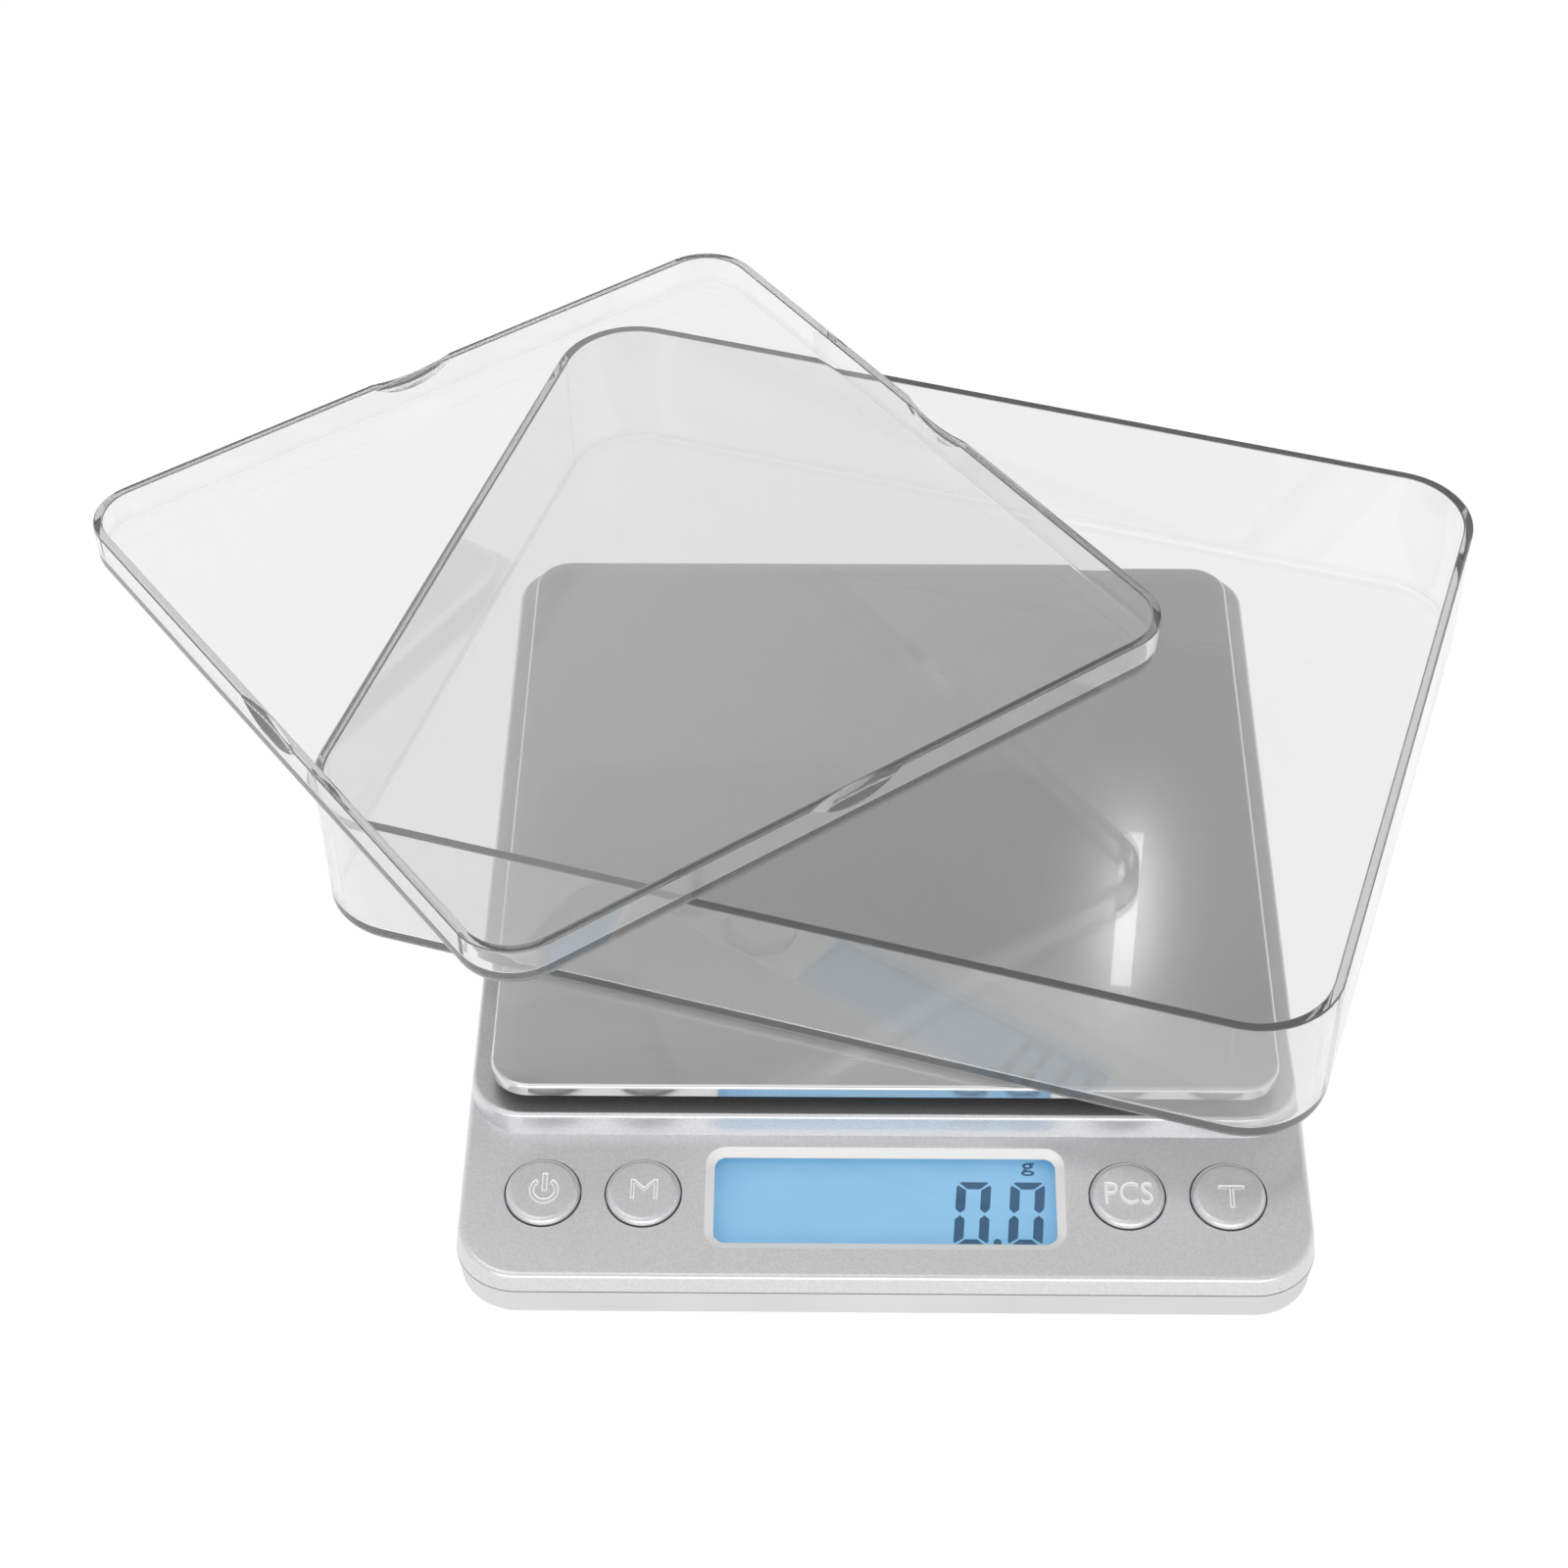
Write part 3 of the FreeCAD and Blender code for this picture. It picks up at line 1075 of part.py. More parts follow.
def deep_tray():
    """The deep clear tray, standing on the platform a little askew."""
    form = tray_form("deep", d.deep_width, d.deep_depth, d.deep_height, d.deep_draft,
                     d.deep_corner, d.deep_round)
    keep("deep_tray", place(form, d.deep_x, d.deep_y, d.platform_height, d.deep_turn))


def shallow_tray():
    """The shallow clear tray, with a finger scoop in each side, lying on the deep tray's rim."""
    form = tray_form("shallow", d.shallow_side, d.shallow_side, d.shallow_height, d.shallow_draft,
                     d.shallow_corner, d.shallow_round)
    reach = root(d.scoop_radius * d.scoop_radius - d.scoop_rise * d.scoop_rise)
    out = d.shallow_side / 2 + reach - d.scoop_bite
    up = d.shallow_height + d.scoop_rise
    balls = []
    for n, (across, along) in enumerate(((1, 0), (-1, 0), (0, 1), (0, -1))):
        ball = doc.addObject("Part::Sphere", f"scoop{n}")
        ball.setExpression("Radius", d.scoop_radius.text)
        balls.append(place(ball, out * across, out * along, up))
    tray = cut("shallow_scooped", form, *balls)
    keep("shallow_tray", place(tray, d.shallow_x, d.shallow_y, d.platform_height + d.deep_height,
                               d.shallow_turn))


def build():
    """Makes every sub-part of the scale and its trays."""
    top_cover()
    bottom_case()
    feet()
    battery_cover()
    case_screws()
    platform_pan()
    platform_carrier()
    load_cell()
    strain_gauges()
    load_cell_screws()
    display()
    circuit_board()
    keys()
    batteries()
    contacts()
    leads()
    deep_tray()
    shallow_tray()
    doc.recompute()


def check():
    """Stops if any object failed, or any sub-part has no sound shape."""
    for part in doc.Objects:
        if "Invalid" in part.State or "Error" in part.State:
            raise ValueError(f"{part.Name} failed: {part.State}")
    for label, part in NODES.items():
        if part.Shape.isNull() or not part.Shape.isValid() or not part.Shape.Solids:
            raise ValueError(f"{label} has no valid solid")


def export():
    """Writes one STEP file for each sub-part."""
    os.makedirs("parts", exist_ok=True)
    for label, part in NODES.items():
        part.Shape.exportStep(f"parts/{label}.step")
        box = part.Shape.BoundBox
        print(f"{label}: {len(part.Shape.Solids)} solid(s), {part.Shape.Volume:.1f} mm3, "
              f"{box.XLength:.1f} x {box.YLength:.1f} x {box.ZLength:.1f} mm")


build()
check()
export()
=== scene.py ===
"""Digital gram scale with a deep and a shallow clear tray: finishes, legends, figures and studio.

Every length is in metres in the scale's own frame: X to the right, Y away from the user, Z up, with
the origin on the bench under the middle of the platform.
"""

import logging
import math
from dataclasses import dataclass
from enum import Enum

import bmesh
import bpy
from mathutils import Matrix, Vector


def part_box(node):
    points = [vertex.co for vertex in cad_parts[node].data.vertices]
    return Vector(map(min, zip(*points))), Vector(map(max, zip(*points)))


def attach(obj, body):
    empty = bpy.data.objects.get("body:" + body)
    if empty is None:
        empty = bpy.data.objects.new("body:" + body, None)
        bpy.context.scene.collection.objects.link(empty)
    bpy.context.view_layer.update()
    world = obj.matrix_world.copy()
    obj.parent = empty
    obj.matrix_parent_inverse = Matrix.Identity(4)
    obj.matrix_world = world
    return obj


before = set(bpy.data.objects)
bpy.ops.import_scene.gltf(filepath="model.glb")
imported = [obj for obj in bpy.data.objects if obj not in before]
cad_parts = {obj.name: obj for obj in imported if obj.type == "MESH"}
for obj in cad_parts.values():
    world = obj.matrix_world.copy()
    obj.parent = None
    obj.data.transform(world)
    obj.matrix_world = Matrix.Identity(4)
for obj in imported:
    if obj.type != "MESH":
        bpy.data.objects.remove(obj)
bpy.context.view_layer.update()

MM = 0.001
WINDOW_UP = 11.7
LOG = logging.getLogger("gram_scale")
Colour = tuple[float, float, float, float]


# ---------------------------------------------------------------- colours and shader nodes

def linear(colour: str) -> Colour:
    """Turns an sRGB hex colour to linear.

    Args:
        colour: The colour as "#rrggbb".

    Returns:
        Linear red, green, blue and an alpha of 1.
    """
    parts = [int(colour[place:place + 2], 16) / 255 for place in (1, 3, 5)]
    red, green, blue = (part / 12.92 if part <= 0.04045 else ((part + 0.055) / 1.055) ** 2.4
                        for part in parts)
    return red, green, blue, 1.0


def scaled(colour: Colour, share: float) -> Colour:
    """Makes a linear colour lighter or darker.

    Args:
        colour: The linear colour.
        share: What its parts are multiplied by.

    Returns:
        The new colour, with no part over 1.
    """
    red, green, blue = (min(1.0, part * share) for part in colour[:3])
    return red, green, blue, 1.0


def add_node(tree: bpy.types.NodeTree, kind: str, settings: dict | None = None,
             links: dict | None = None) -> bpy.types.Node:
    """Adds one shader node with its settings and links.

    Args:
        tree: The node tree that gets the node.
        kind: The node's type, such as "ShaderNodeTexNoise".
        settings: Values for its properties or its input sockets, by name or number. "stops" gives
            a colour ramp's places and linear colours.
        links: What feeds its input sockets, by name or number. A node stands for its first output.

    Returns:
        The new node.
    """
    made = tree.nodes.new(kind)
    for name, value in (settings or {}).items():
        if name == "stops":
            elements = made.color_ramp.elements
            while len(elements) < len(value):
                elements.new(0.5)
            for element, (place, colour) in zip(elements, value):
                element.position = place
                element.color = colour
        elif isinstance(name, str) and hasattr(made, name):
            setattr(made, name, value)
        else:
            made.inputs[name].default_value = value
    for name, source in (links or {}).items():
        socket = source.outputs[0] if isinstance(source, bpy.types.Node) else source
        tree.links.new(socket, made.inputs[name])
    return made


def new_material(name: str) -> tuple[bpy.types.Material, bpy.types.NodeTree]:
    """Makes an empty node material.

    Args:
        name: The material's name.

    Returns:
        The material and its node tree.
    """
    made = bpy.data.materials.new(name)
    made.use_nodes = True
    made.node_tree.nodes.clear()
    return made, made.node_tree


def place_on_piece(tree: bpy.types.NodeTree,
                   stretch: tuple[float, float, float] = (1, 1, 1)) -> bpy.types.Node:
    """Gives the piece's own coordinates, stretched for a pattern.

    Args:
        tree: The node tree.
        stretch: How many times finer the pattern is along each axis.

    Returns:
        The node that gives the coordinates.
    """
    piece = add_node(tree, "ShaderNodeTexCoord")
    return add_node(tree, "ShaderNodeMapping", {"Scale": stretch},
                    {"Vector": piece.outputs["Object"]})


def mottle(tree: bpy.types.NodeTree, pitch_mm: float, detail: float = 2.0,
           stretch: tuple[float, float, float] = (1, 1, 1)) -> bpy.types.Node:
    """An uneven pattern over the piece, with features about pitch_mm wide.

    Args:
        tree: The node tree.
        pitch_mm: The size of the features.
        detail: How many finer layers there are.
        stretch: How many times finer it is along each axis.

    Returns:
        The node, whose value runs from 0 to 1.
    """
    return add_node(tree, "ShaderNodeTexNoise",
                    {"Scale": 1 / (pitch_mm * MM), "Detail": detail, "Roughness": 0.55},
                    {"Vector": place_on_piece(tree, stretch)})


def finish_with(tree: bpy.types.NodeTree, settings: dict, links: dict) -> None:
    """Ends a tree with a Principled shader.

    Args:
        tree: The node tree.
        settings: Constant socket values.
        links: What varies over the surface.
    """
    shader = add_node(tree, "ShaderNodeBsdfPrincipled", settings, links)
    add_node(tree, "ShaderNodeOutputMaterial", links={"Surface": shader})


def finish_clear(tree: bpy.types.NodeTree, body: bpy.types.Node, tint: str) -> None:
    """Ends a tree with a clear shader that lets the lamps' light straight through.

    Args:
        tree: The node tree.
        body: What is seen of the plastic.
        tint: The colour of the light that it lets through.
    """
    clear = add_node(tree, "ShaderNodeBsdfTransparent", {"Color": linear(tint)})
    path = add_node(tree, "ShaderNodeLightPath")
    mixed = add_node(tree, "ShaderNodeMixShader",
                     links={0: path.outputs["Is Shadow Ray"], 1: body, 2: clear})
    add_node(tree, "ShaderNodeOutputMaterial", links={"Surface": mixed})


# ---------------------------------------------------------------- the panel's place

@dataclass(frozen=True)
class Panel:
    """The sloped control panel's own frame: across, up the slope, and out of it."""

    front: float = -72.6
    lip: float = 8.26
    slope: float = 9.8

    @property
    def angle(self) -> float:
        """The slope in radians."""
        return math.radians(self.slope)

    def matrix(self, across: float = 0.0, up: float = 0.0, out: float = 0.0) -> Matrix:
        """Places something made flat about the origin, in metres, at a place on the panel.

        Args:
            across: Millimetres to the right of the middle.
            up: Millimetres up the slope from its front edge.
            out: Millimetres out of its face.

        Returns:
            The placing matrix.
        """
        start = Matrix.Translation((0, self.front * MM, self.lip * MM))
        lean = Matrix.Rotation(self.angle, 4, "X")
        return start @ lean @ Matrix.Translation((across * MM, up * MM, out * MM))

    def coordinates(self, tree: bpy.types.NodeTree, up: float, out: float,
                    scale: tuple[float, float, float]) -> bpy.types.Node:
        """Gives a piece's coordinates across and up the panel, about a middle.

        Args:
            tree: The node tree.
            up: The middle's place up the slope, in millimetres.
            out: The middle's place out of the face.
            scale: The length in metres that counts as 1 along each axis.

        Returns:
            The node that gives the coordinates.
        """
        piece = add_node(tree, "ShaderNodeTexCoord")
        return add_node(tree, "ShaderNodeMapping",
                        {"vector_type": "TEXTURE", "Scale": scale,
                         "Location": self.matrix(0, up, out).to_translation(),
                         "Rotation": (self.angle, 0, 0)},
                        {"Vector": piece.outputs["Object"]})


PANEL = Panel()


# ---------------------------------------------------------------- finishes

@dataclass(frozen=True)
class WindowFrame:
    """Where the sloped frame round the display window is, in millimetres on the panel."""

    half_width: float = 21.45
    half_depth: float = 6.15
    width: float = 1.15
    corner: float = 2.65
    fade: tuple[float, float] = (0.03, -0.1)

    def mask(self, tree: bpy.types.NodeTree) -> bpy.types.Node:
        """1 on the frame and inside it, 0 on the panel round it.

        Args:
            tree: The node tree.

        Returns:
            The node that gives the mask.
        """
        inset = self.width - self.corner
        place = PANEL.coordinates(tree, WINDOW_UP, 0, (MM, MM, MM))
        folded = add_node(tree, "ShaderNodeVectorMath", {"operation": "ABSOLUTE"}, {0: place})
        beyond = add_node(tree, "ShaderNodeVectorMath",
                          {"operation": "SUBTRACT",
                           1: (self.half_width + inset, self.half_depth + inset, 0)}, {0: folded})
        outward = add_node(tree, "ShaderNodeVectorMath", {"operation": "MAXIMUM", 1: (0, 0, 0)},
                           {0: beyond})
        across = add_node(tree, "ShaderNodeVectorMath", {"operation": "MULTIPLY", 1: (1, 1, 0)},
                          {0: outward})
        distance = add_node(tree, "ShaderNodeVectorMath", {"operation": "LENGTH"}, {0: across})
        return add_node(tree, "ShaderNodeMapRange",
                        {"From Min": self.corner + self.fade[0],
                         "From Max": self.corner + self.fade[1]},
                        {"Value": distance.outputs["Value"]})


@dataclass(frozen=True)
class SilverPaint:
    """Satin silver paint sprayed on moulded ABS.

    The flakes give a fine sparkle and a soft metallic fall-off, and the spray leaves a faint orange
    peel that bends the highlights. The frame round the window is painted nearly white and less
    metallic, a painted highlight where its bevel catches the light.
    """

    name: str = "silver_sprayed_abs"
    colour: str = "#dededf"
    flake: str = "#d2d2d4"
    frame_highlight_colour: str = "#f0efee"
    flake_mm: float = 0.22
    peel_mm: float = 1.4
    peel_depth_mm: float = 0.006
    metal: float = 0.85
    frame_highlight_metal: float = 0.25
    window: WindowFrame | None = None

    def material(self) -> bpy.types.Material:
        """Builds the paint."""
        made, tree = new_material(self.name)
        flakes = add_node(tree, "ShaderNodeTexVoronoi", {"Scale": 1 / (self.flake_mm * MM)},
                          {"Vector": place_on_piece(tree)})
        shade = add_node(tree, "ShaderNodeSeparateColor", links={"Color": flakes.outputs["Color"]})
        colour = add_node(tree, "ShaderNodeValToRGB",
                          {"stops": [(0.0, linear(self.flake)), (1.0, linear(self.colour))]},
                          {"Fac": shade.outputs["Red"]})
        handling = add_node(tree, "ShaderNodeMapRange", {"To Min": 0.29, "To Max": 0.37},
                            {"Value": mottle(tree, pitch_mm=14.0, detail=3.0)})
        peel = add_node(tree, "ShaderNodeBump", {"Distance": self.peel_depth_mm * MM, "Strength": 1.0},
                        {"Height": mottle(tree, self.peel_mm)})
        links = {"Base Color": colour, "Roughness": handling, "Normal": peel}
        # Painted highlight: the frame round the window is mixed to near-white and made less metallic.
        if self.window is not None:
            mask = self.window.mask(tree)
            frame_highlight = add_node(tree, "ShaderNodeMix",
                                {"data_type": "RGBA", 7: linear(self.frame_highlight_colour)},
                                {0: mask, 6: colour})
            links["Base Color"] = frame_highlight.outputs[2]
            links["Metallic"] = add_node(tree, "ShaderNodeMapRange",
                                         {"To Min": self.metal, "To Max": self.frame_highlight_metal},
                                         {"Value": mask})
        finish_with(tree, {"Metallic": self.metal, "Coat Weight": 0.1, "Coat Roughness": 0.12}, links)
        return made


@dataclass(frozen=True)
class MouldedPlastic:
    """Injection-moulded plastic with the even grain of a spark-eroded mould.

    The grain breaks the highlight into a soft sheen, and the roughness wanders where hands rub it.
    """

    name: str
    colour: str
    roughness: float = 0.45
    grain_mm: float = 0.35
    grain_depth_mm: float = 0.02
    ior: float = 1.53
    rub: float = 0.06

    def material(self) -> bpy.types.Material:
        """Builds the plastic."""
        made, tree = new_material(self.name)
        base = linear(self.colour)
        colour = add_node(tree, "ShaderNodeValToRGB",
                          {"stops": [(0.35, scaled(base, 0.93)), (0.65, base)]},
                          {"Fac": mottle(tree, pitch_mm=22.0, detail=3.0)})
        rough = add_node(tree, "ShaderNodeMapRange",
                         {"To Min": self.roughness - self.rub, "To Max": self.roughness + self.rub},
                         {"Value": mottle(tree, pitch_mm=9.0, detail=3.0)})
        grain = add_node(tree, "ShaderNodeBump",
                         {"Distance": self.grain_depth_mm * MM, "Strength": 0.6},
                         {"Height": mottle(tree, self.grain_mm, detail=1.0)})
        finish_with(tree, {"IOR": self.ior},
                    {"Base Color": colour, "Roughness": rough, "Normal": grain})
        return made


@dataclass(frozen=True)
class BrushedStainless:
    """Stainless sheet with a fine brush across the pan, then a light polish.

    The lines run side to side and draw a reflected light out to a streak from front to back.
    """

    name: str = "brushed_stainless_304"
    colour: str = "#dedede"
    line_colour: str = "#d8d8d8"
    line_mm: float = 0.25
    line_run: float = 90.0
    line_depth_mm: float = 0.0018
    wave_depth_mm: float = 0.015

    def material(self) -> bpy.types.Material:
        """Builds the steel."""
        made, tree = new_material(self.name)
        lines = mottle(tree, self.line_mm, stretch=(1 / self.line_run, 1, 1))
        colour = add_node(tree, "ShaderNodeValToRGB",
                          {"stops": [(0.3, linear(self.line_colour)), (0.7, linear(self.colour))]},
                          {"Fac": lines})
        rough = add_node(tree, "ShaderNodeMapRange", {"To Min": 0.08, "To Max": 0.12},
                         {"Value": mottle(tree, pitch_mm=30.0)})
        wave = add_node(tree, "ShaderNodeBump",
                        {"Distance": self.wave_depth_mm * MM, "Strength": 0.4},
                        {"Height": mottle(tree, pitch_mm=26.0, detail=1.0)})
        brush = add_node(tree, "ShaderNodeBump",
                         {"Distance": self.line_depth_mm * MM, "Strength": 1.0},
                         {"Height": lines, "Normal": wave})
        finish_with(tree, {"Metallic": 1.0},
                    {"Base Color": colour, "Roughness": rough, "Normal": brush})
        return made


@dataclass(frozen=True)
class PlainMetal:
    """Machined, plated or rolled metal, with the fine marks of how it was worked."""

    name: str
    colour: str
    roughness: float
    mark_mm: float
    stretch: tuple[float, float, float] = (1, 1, 1)
    mark_depth_mm: float = 0.004

    def material(self) -> bpy.types.Material:
        """Builds the metal."""
        made, tree = new_material(self.name)
        marks = mottle(tree, self.mark_mm, stretch=self.stretch)
        base = linear(self.colour)
        colour = add_node(tree, "ShaderNodeValToRGB",
                          {"stops": [(0.3, scaled(base, 0.8)), (0.7, base)]}, {"Fac": marks})
        rough = add_node(tree, "ShaderNodeMapRange",
                         {"To Min": self.roughness * 0.8, "To Max": self.roughness * 1.3},
                         {"Value": marks})
        worked = add_node(tree, "ShaderNodeBump",
                          {"Distance": self.mark_depth_mm * MM, "Strength": 1.0},
                          {"Height": marks})
        finish_with(tree, {"Metallic": 1.0},
                    {"Base Color": colour, "Roughness": rough, "Normal": worked})
        return made


@dataclass(frozen=True)
class ClearStyrene:
    """Clear polystyrene, polished in the mould and a trace grey where the light runs far in it.

    A ray that only carries light to what lies behind passes straight through, so the trays throw
    no hard shadow. A band under the rim is painted grey, a painted shade for the dark that
    refraction gives where the wall is seen along its height. The bend at the foot is painted
    partly white, a painted highlight over the dark line that refraction gives there.
    """

    name: str
    foot_height: float
    rim_height: float
    foot_reach_mm: float = 1.45
    foot_lightening: float = 0.18
    rim_shade_band_mm: float = 0.3
    tint: str = "#f3f3f3"
    rim_shade: str = "#b2b2b2"
    haze: float = 0.06
    ior: float = 1.55

    def foot_mask(self, tree: bpy.types.NodeTree, height: bpy.types.NodeSocket) -> bpy.types.Node:
        """1 on the bend at the foot, 0 above it and on the underside.

        Args:
            tree: The node tree.
            height: The height over the bench.

        Returns:
            The node that gives the mask.
        """
        black, white = (0, 0, 0, 1), (1, 1, 1, 1)
        climb = add_node(tree, "ShaderNodeMapRange",
                         {"From Min": self.foot_height,
                          "From Max": self.foot_height + self.foot_reach_mm * MM},
                         {"Value": height})
        return add_node(tree, "ShaderNodeValToRGB",
                        {"stops": [(0.0, black), (0.16, black), (0.2, white), (0.7, white),
                                   (0.9, black)]}, {"Fac": climb})

    def material(self) -> bpy.types.Material:
        """Builds the clear plastic."""
        made, tree = new_material(self.name)
        place = add_node(tree, "ShaderNodeSeparateXYZ", links={"Vector": place_on_piece(tree)})
        height = place.outputs["Z"]
        # Painted shade: a grey band just under the rim stands for the dark that refraction gives
        # there.
        band = add_node(tree, "ShaderNodeMapRange",
                        {"From Min": self.rim_height - self.rim_shade_band_mm * MM,
                         "From Max": self.rim_height - self.rim_shade_band_mm * MM * 0.5},
                        {"Value": height})
        colour = add_node(tree, "ShaderNodeValToRGB",
                          {"stops": [(0.0, linear(self.tint)), (1.0, linear(self.rim_shade))]},
                          {"Fac": band})
        rough = add_node(tree, "ShaderNodeMapRange", {"To Min": 0.0, "To Max": 0.02},
                         {"Value": mottle(tree, pitch_mm=18.0, detail=3.0)})
        flow = add_node(tree, "ShaderNodeBump", {"Distance": 0.03 * MM, "Strength": 0.5},
                        {"Height": mottle(tree, pitch_mm=32.0, detail=1.0)})
        # Painted light: the bend at the foot lets less through and shows more white diffuse,
        # lightening its dark refraction line.
        clearness = add_node(tree, "ShaderNodeMapRange",
                             {"To Min": 1 - self.haze, "To Max": 1 - self.foot_lightening},
                             {"Value": self.foot_mask(tree, height)})
        body = add_node(tree, "ShaderNodeBsdfPrincipled", {"IOR": self.ior},
                        {"Base Color": colour, "Roughness": rough, "Normal": flow,
                         "Transmission Weight": clearness})
        finish_clear(tree, body, "#f4f4f4")
        return made


@dataclass(frozen=True)
class ClearLens:
    """Thin cast acrylic over the display, with a faint wipe haze."""

    name: str = "acrylic_lens"
    ior: float = 1.49

    def material(self) -> bpy.types.Material:
        """Builds the acrylic."""
        made, tree = new_material(self.name)
        rough = add_node(tree, "ShaderNodeMapRange", {"To Min": 0.0, "To Max": 0.04},
                         {"Value": mottle(tree, pitch_mm=6.0, detail=3.0)})
        body = add_node(tree, "ShaderNodeBsdfPrincipled",
                        {"Base Color": linear("#fbfdff"), "Transmission Weight": 1.0,
                         "IOR": self.ior}, {"Roughness": rough})
        finish_clear(tree, body, "#ffffff")
        return made


@dataclass(frozen=True)
class LitDisplay:
    """A blue-lit liquid crystal: even light with painted shade towards the window's edges."""

    name: str = "lit_liquid_crystal"
    centre: str = "#92caf0"
    edge: str = "#5f9fcc"
    out: float = -2.0
    half_width: float = 22.4
    half_depth: float = 7.5
    fall_off: tuple[float, float] = (12.0, 3.5)
    unevenness: float = 0.22

    def material(self) -> bpy.types.Material:
        """Builds the lit face."""
        made, tree = new_material(self.name)
        place = PANEL.coordinates(tree, WINDOW_UP, self.out,
                                  (self.half_width * MM, self.half_depth * MM, 1))
        parts = add_node(tree, "ShaderNodeSeparateXYZ", links={"Vector": place})
        sides = [add_node(tree, "ShaderNodeMath", {"operation": "ABSOLUTE"},
                          {0: parts.outputs[axis]}) for axis in ("X", "Y")]
        across, along = (add_node(tree, "ShaderNodeMath", {"operation": "POWER", 1: power}, {0: side})
                         for side, power in zip(sides, self.fall_off))
        away = add_node(tree, "ShaderNodeMath", {"operation": "ADD"}, {0: across, 1: along})
        uneven = add_node(tree, "ShaderNodeMath",
                          {"operation": "MULTIPLY_ADD", 1: self.unevenness},
                          {0: mottle(tree, pitch_mm=5.0), 2: away})
        # Painted shade: the emission runs from the centre colour to a darker blue towards the window's
        # edges.
        colour = add_node(tree, "ShaderNodeValToRGB",
                          {"stops": [(0.05, linear(self.centre)), (0.95, linear(self.edge))]},
                          {"Fac": uneven})
        film = add_node(tree, "ShaderNodeBump", {"Distance": 0.002 * MM, "Strength": 1.0},
                        {"Height": mottle(tree, pitch_mm=0.4, detail=1.0)})
        finish_with(tree, {"Base Color": linear("#0b1820"), "Roughness": 0.2,
                           "Emission Strength": 0.94, "Specular IOR Level": 0.05},
                    {"Emission Color": colour, "Normal": film})
        return made


@dataclass(frozen=True)
class DisplayInk:
    """A driven segment, seen as a darker blue against the lit ground."""

    name: str
    colour: str

    def material(self) -> bpy.types.Material:
        """Builds the segment."""
        made, tree = new_material(self.name)
        base = linear(self.colour)
        colour = add_node(tree, "ShaderNodeValToRGB",
                          {"stops": [(0.3, base), (0.7, scaled(base, 1.12))]},
                          {"Fac": mottle(tree, pitch_mm=1.5)})
        film = add_node(tree, "ShaderNodeBump", {"Distance": 0.001 * MM, "Strength": 1.0},
                        {"Height": mottle(tree, pitch_mm=0.3, detail=1.0)})
        finish_with(tree, {"Base Color": linear("#0a1a26"), "Roughness": 0.3,
                           "Emission Strength": 0.95, "Specular IOR Level": 0.05},
                    {"Emission Color": colour, "Normal": film})
        return made


@dataclass(frozen=True)
class LayeredSilicone:
    """A contact strip of conductive and insulating silicone layers, seen as fine stripes."""

    name: str = "layered_contact_silicone"
    layer_mm: float = 0.1
    waves_per_layer: float = 0.314

    def material(self) -> bpy.types.Material:
        """Builds the silicone."""
        made, tree = new_material(self.name)
        layers = add_node(tree, "ShaderNodeTexWave",
                          {"bands_direction": "X",
                           "Scale": self.waves_per_layer / (self.layer_mm * MM)},
                          {"Vector": place_on_piece(tree)})
        colour = add_node(tree, "ShaderNodeValToRGB",
                          {"stops": [(0.4, linear("#2a2a2a")), (0.6, linear("#e0b7a8"))]},
                          {"Fac": layers.outputs["Fac"]})
        edges = add_node(tree, "ShaderNodeBump", {"Distance": 0.01 * MM, "Strength": 1.0},
                         {"Height": layers.outputs["Fac"]})
        finish_with(tree, {"Roughness": 0.6}, {"Base Color": colour, "Normal": edges})
        return made


@dataclass(frozen=True)
class CircuitLaminate:
    """Green solder mask over glass laminate: dark where there is no copper, lighter over tracks."""

    name: str = "green_solder_mask"
    track_mm: float = 1.1
    tracks_per_block: float = 6

    def material(self) -> bpy.types.Material:
        """Builds the laminate."""
        made, tree = new_material(self.name)
        tracks = add_node(tree, "ShaderNodeTexBrick",
                          {"Color1": linear("#1f5a31"), "Color2": linear("#1b5130"),
                           "Mortar": linear("#12391f"), "Mortar Size": 0.03,
                           "Scale": 1 / (self.track_mm * self.tracks_per_block * MM)},
                          {"Vector": place_on_piece(tree)})
        weave = add_node(tree, "ShaderNodeBump", {"Distance": 0.01 * MM, "Strength": 1.0},
                         {"Height": mottle(tree, pitch_mm=0.5, detail=1.0)})
        copper = add_node(tree, "ShaderNodeBump", {"Distance": 0.03 * MM, "Strength": 0.8},
                          {"Height": tracks.outputs["Fac"], "Normal": weave})
        finish_with(tree, {"Roughness": 0.3, "Coat Weight": 0.3},
                    {"Base Color": tracks, "Normal": copper})
        return made


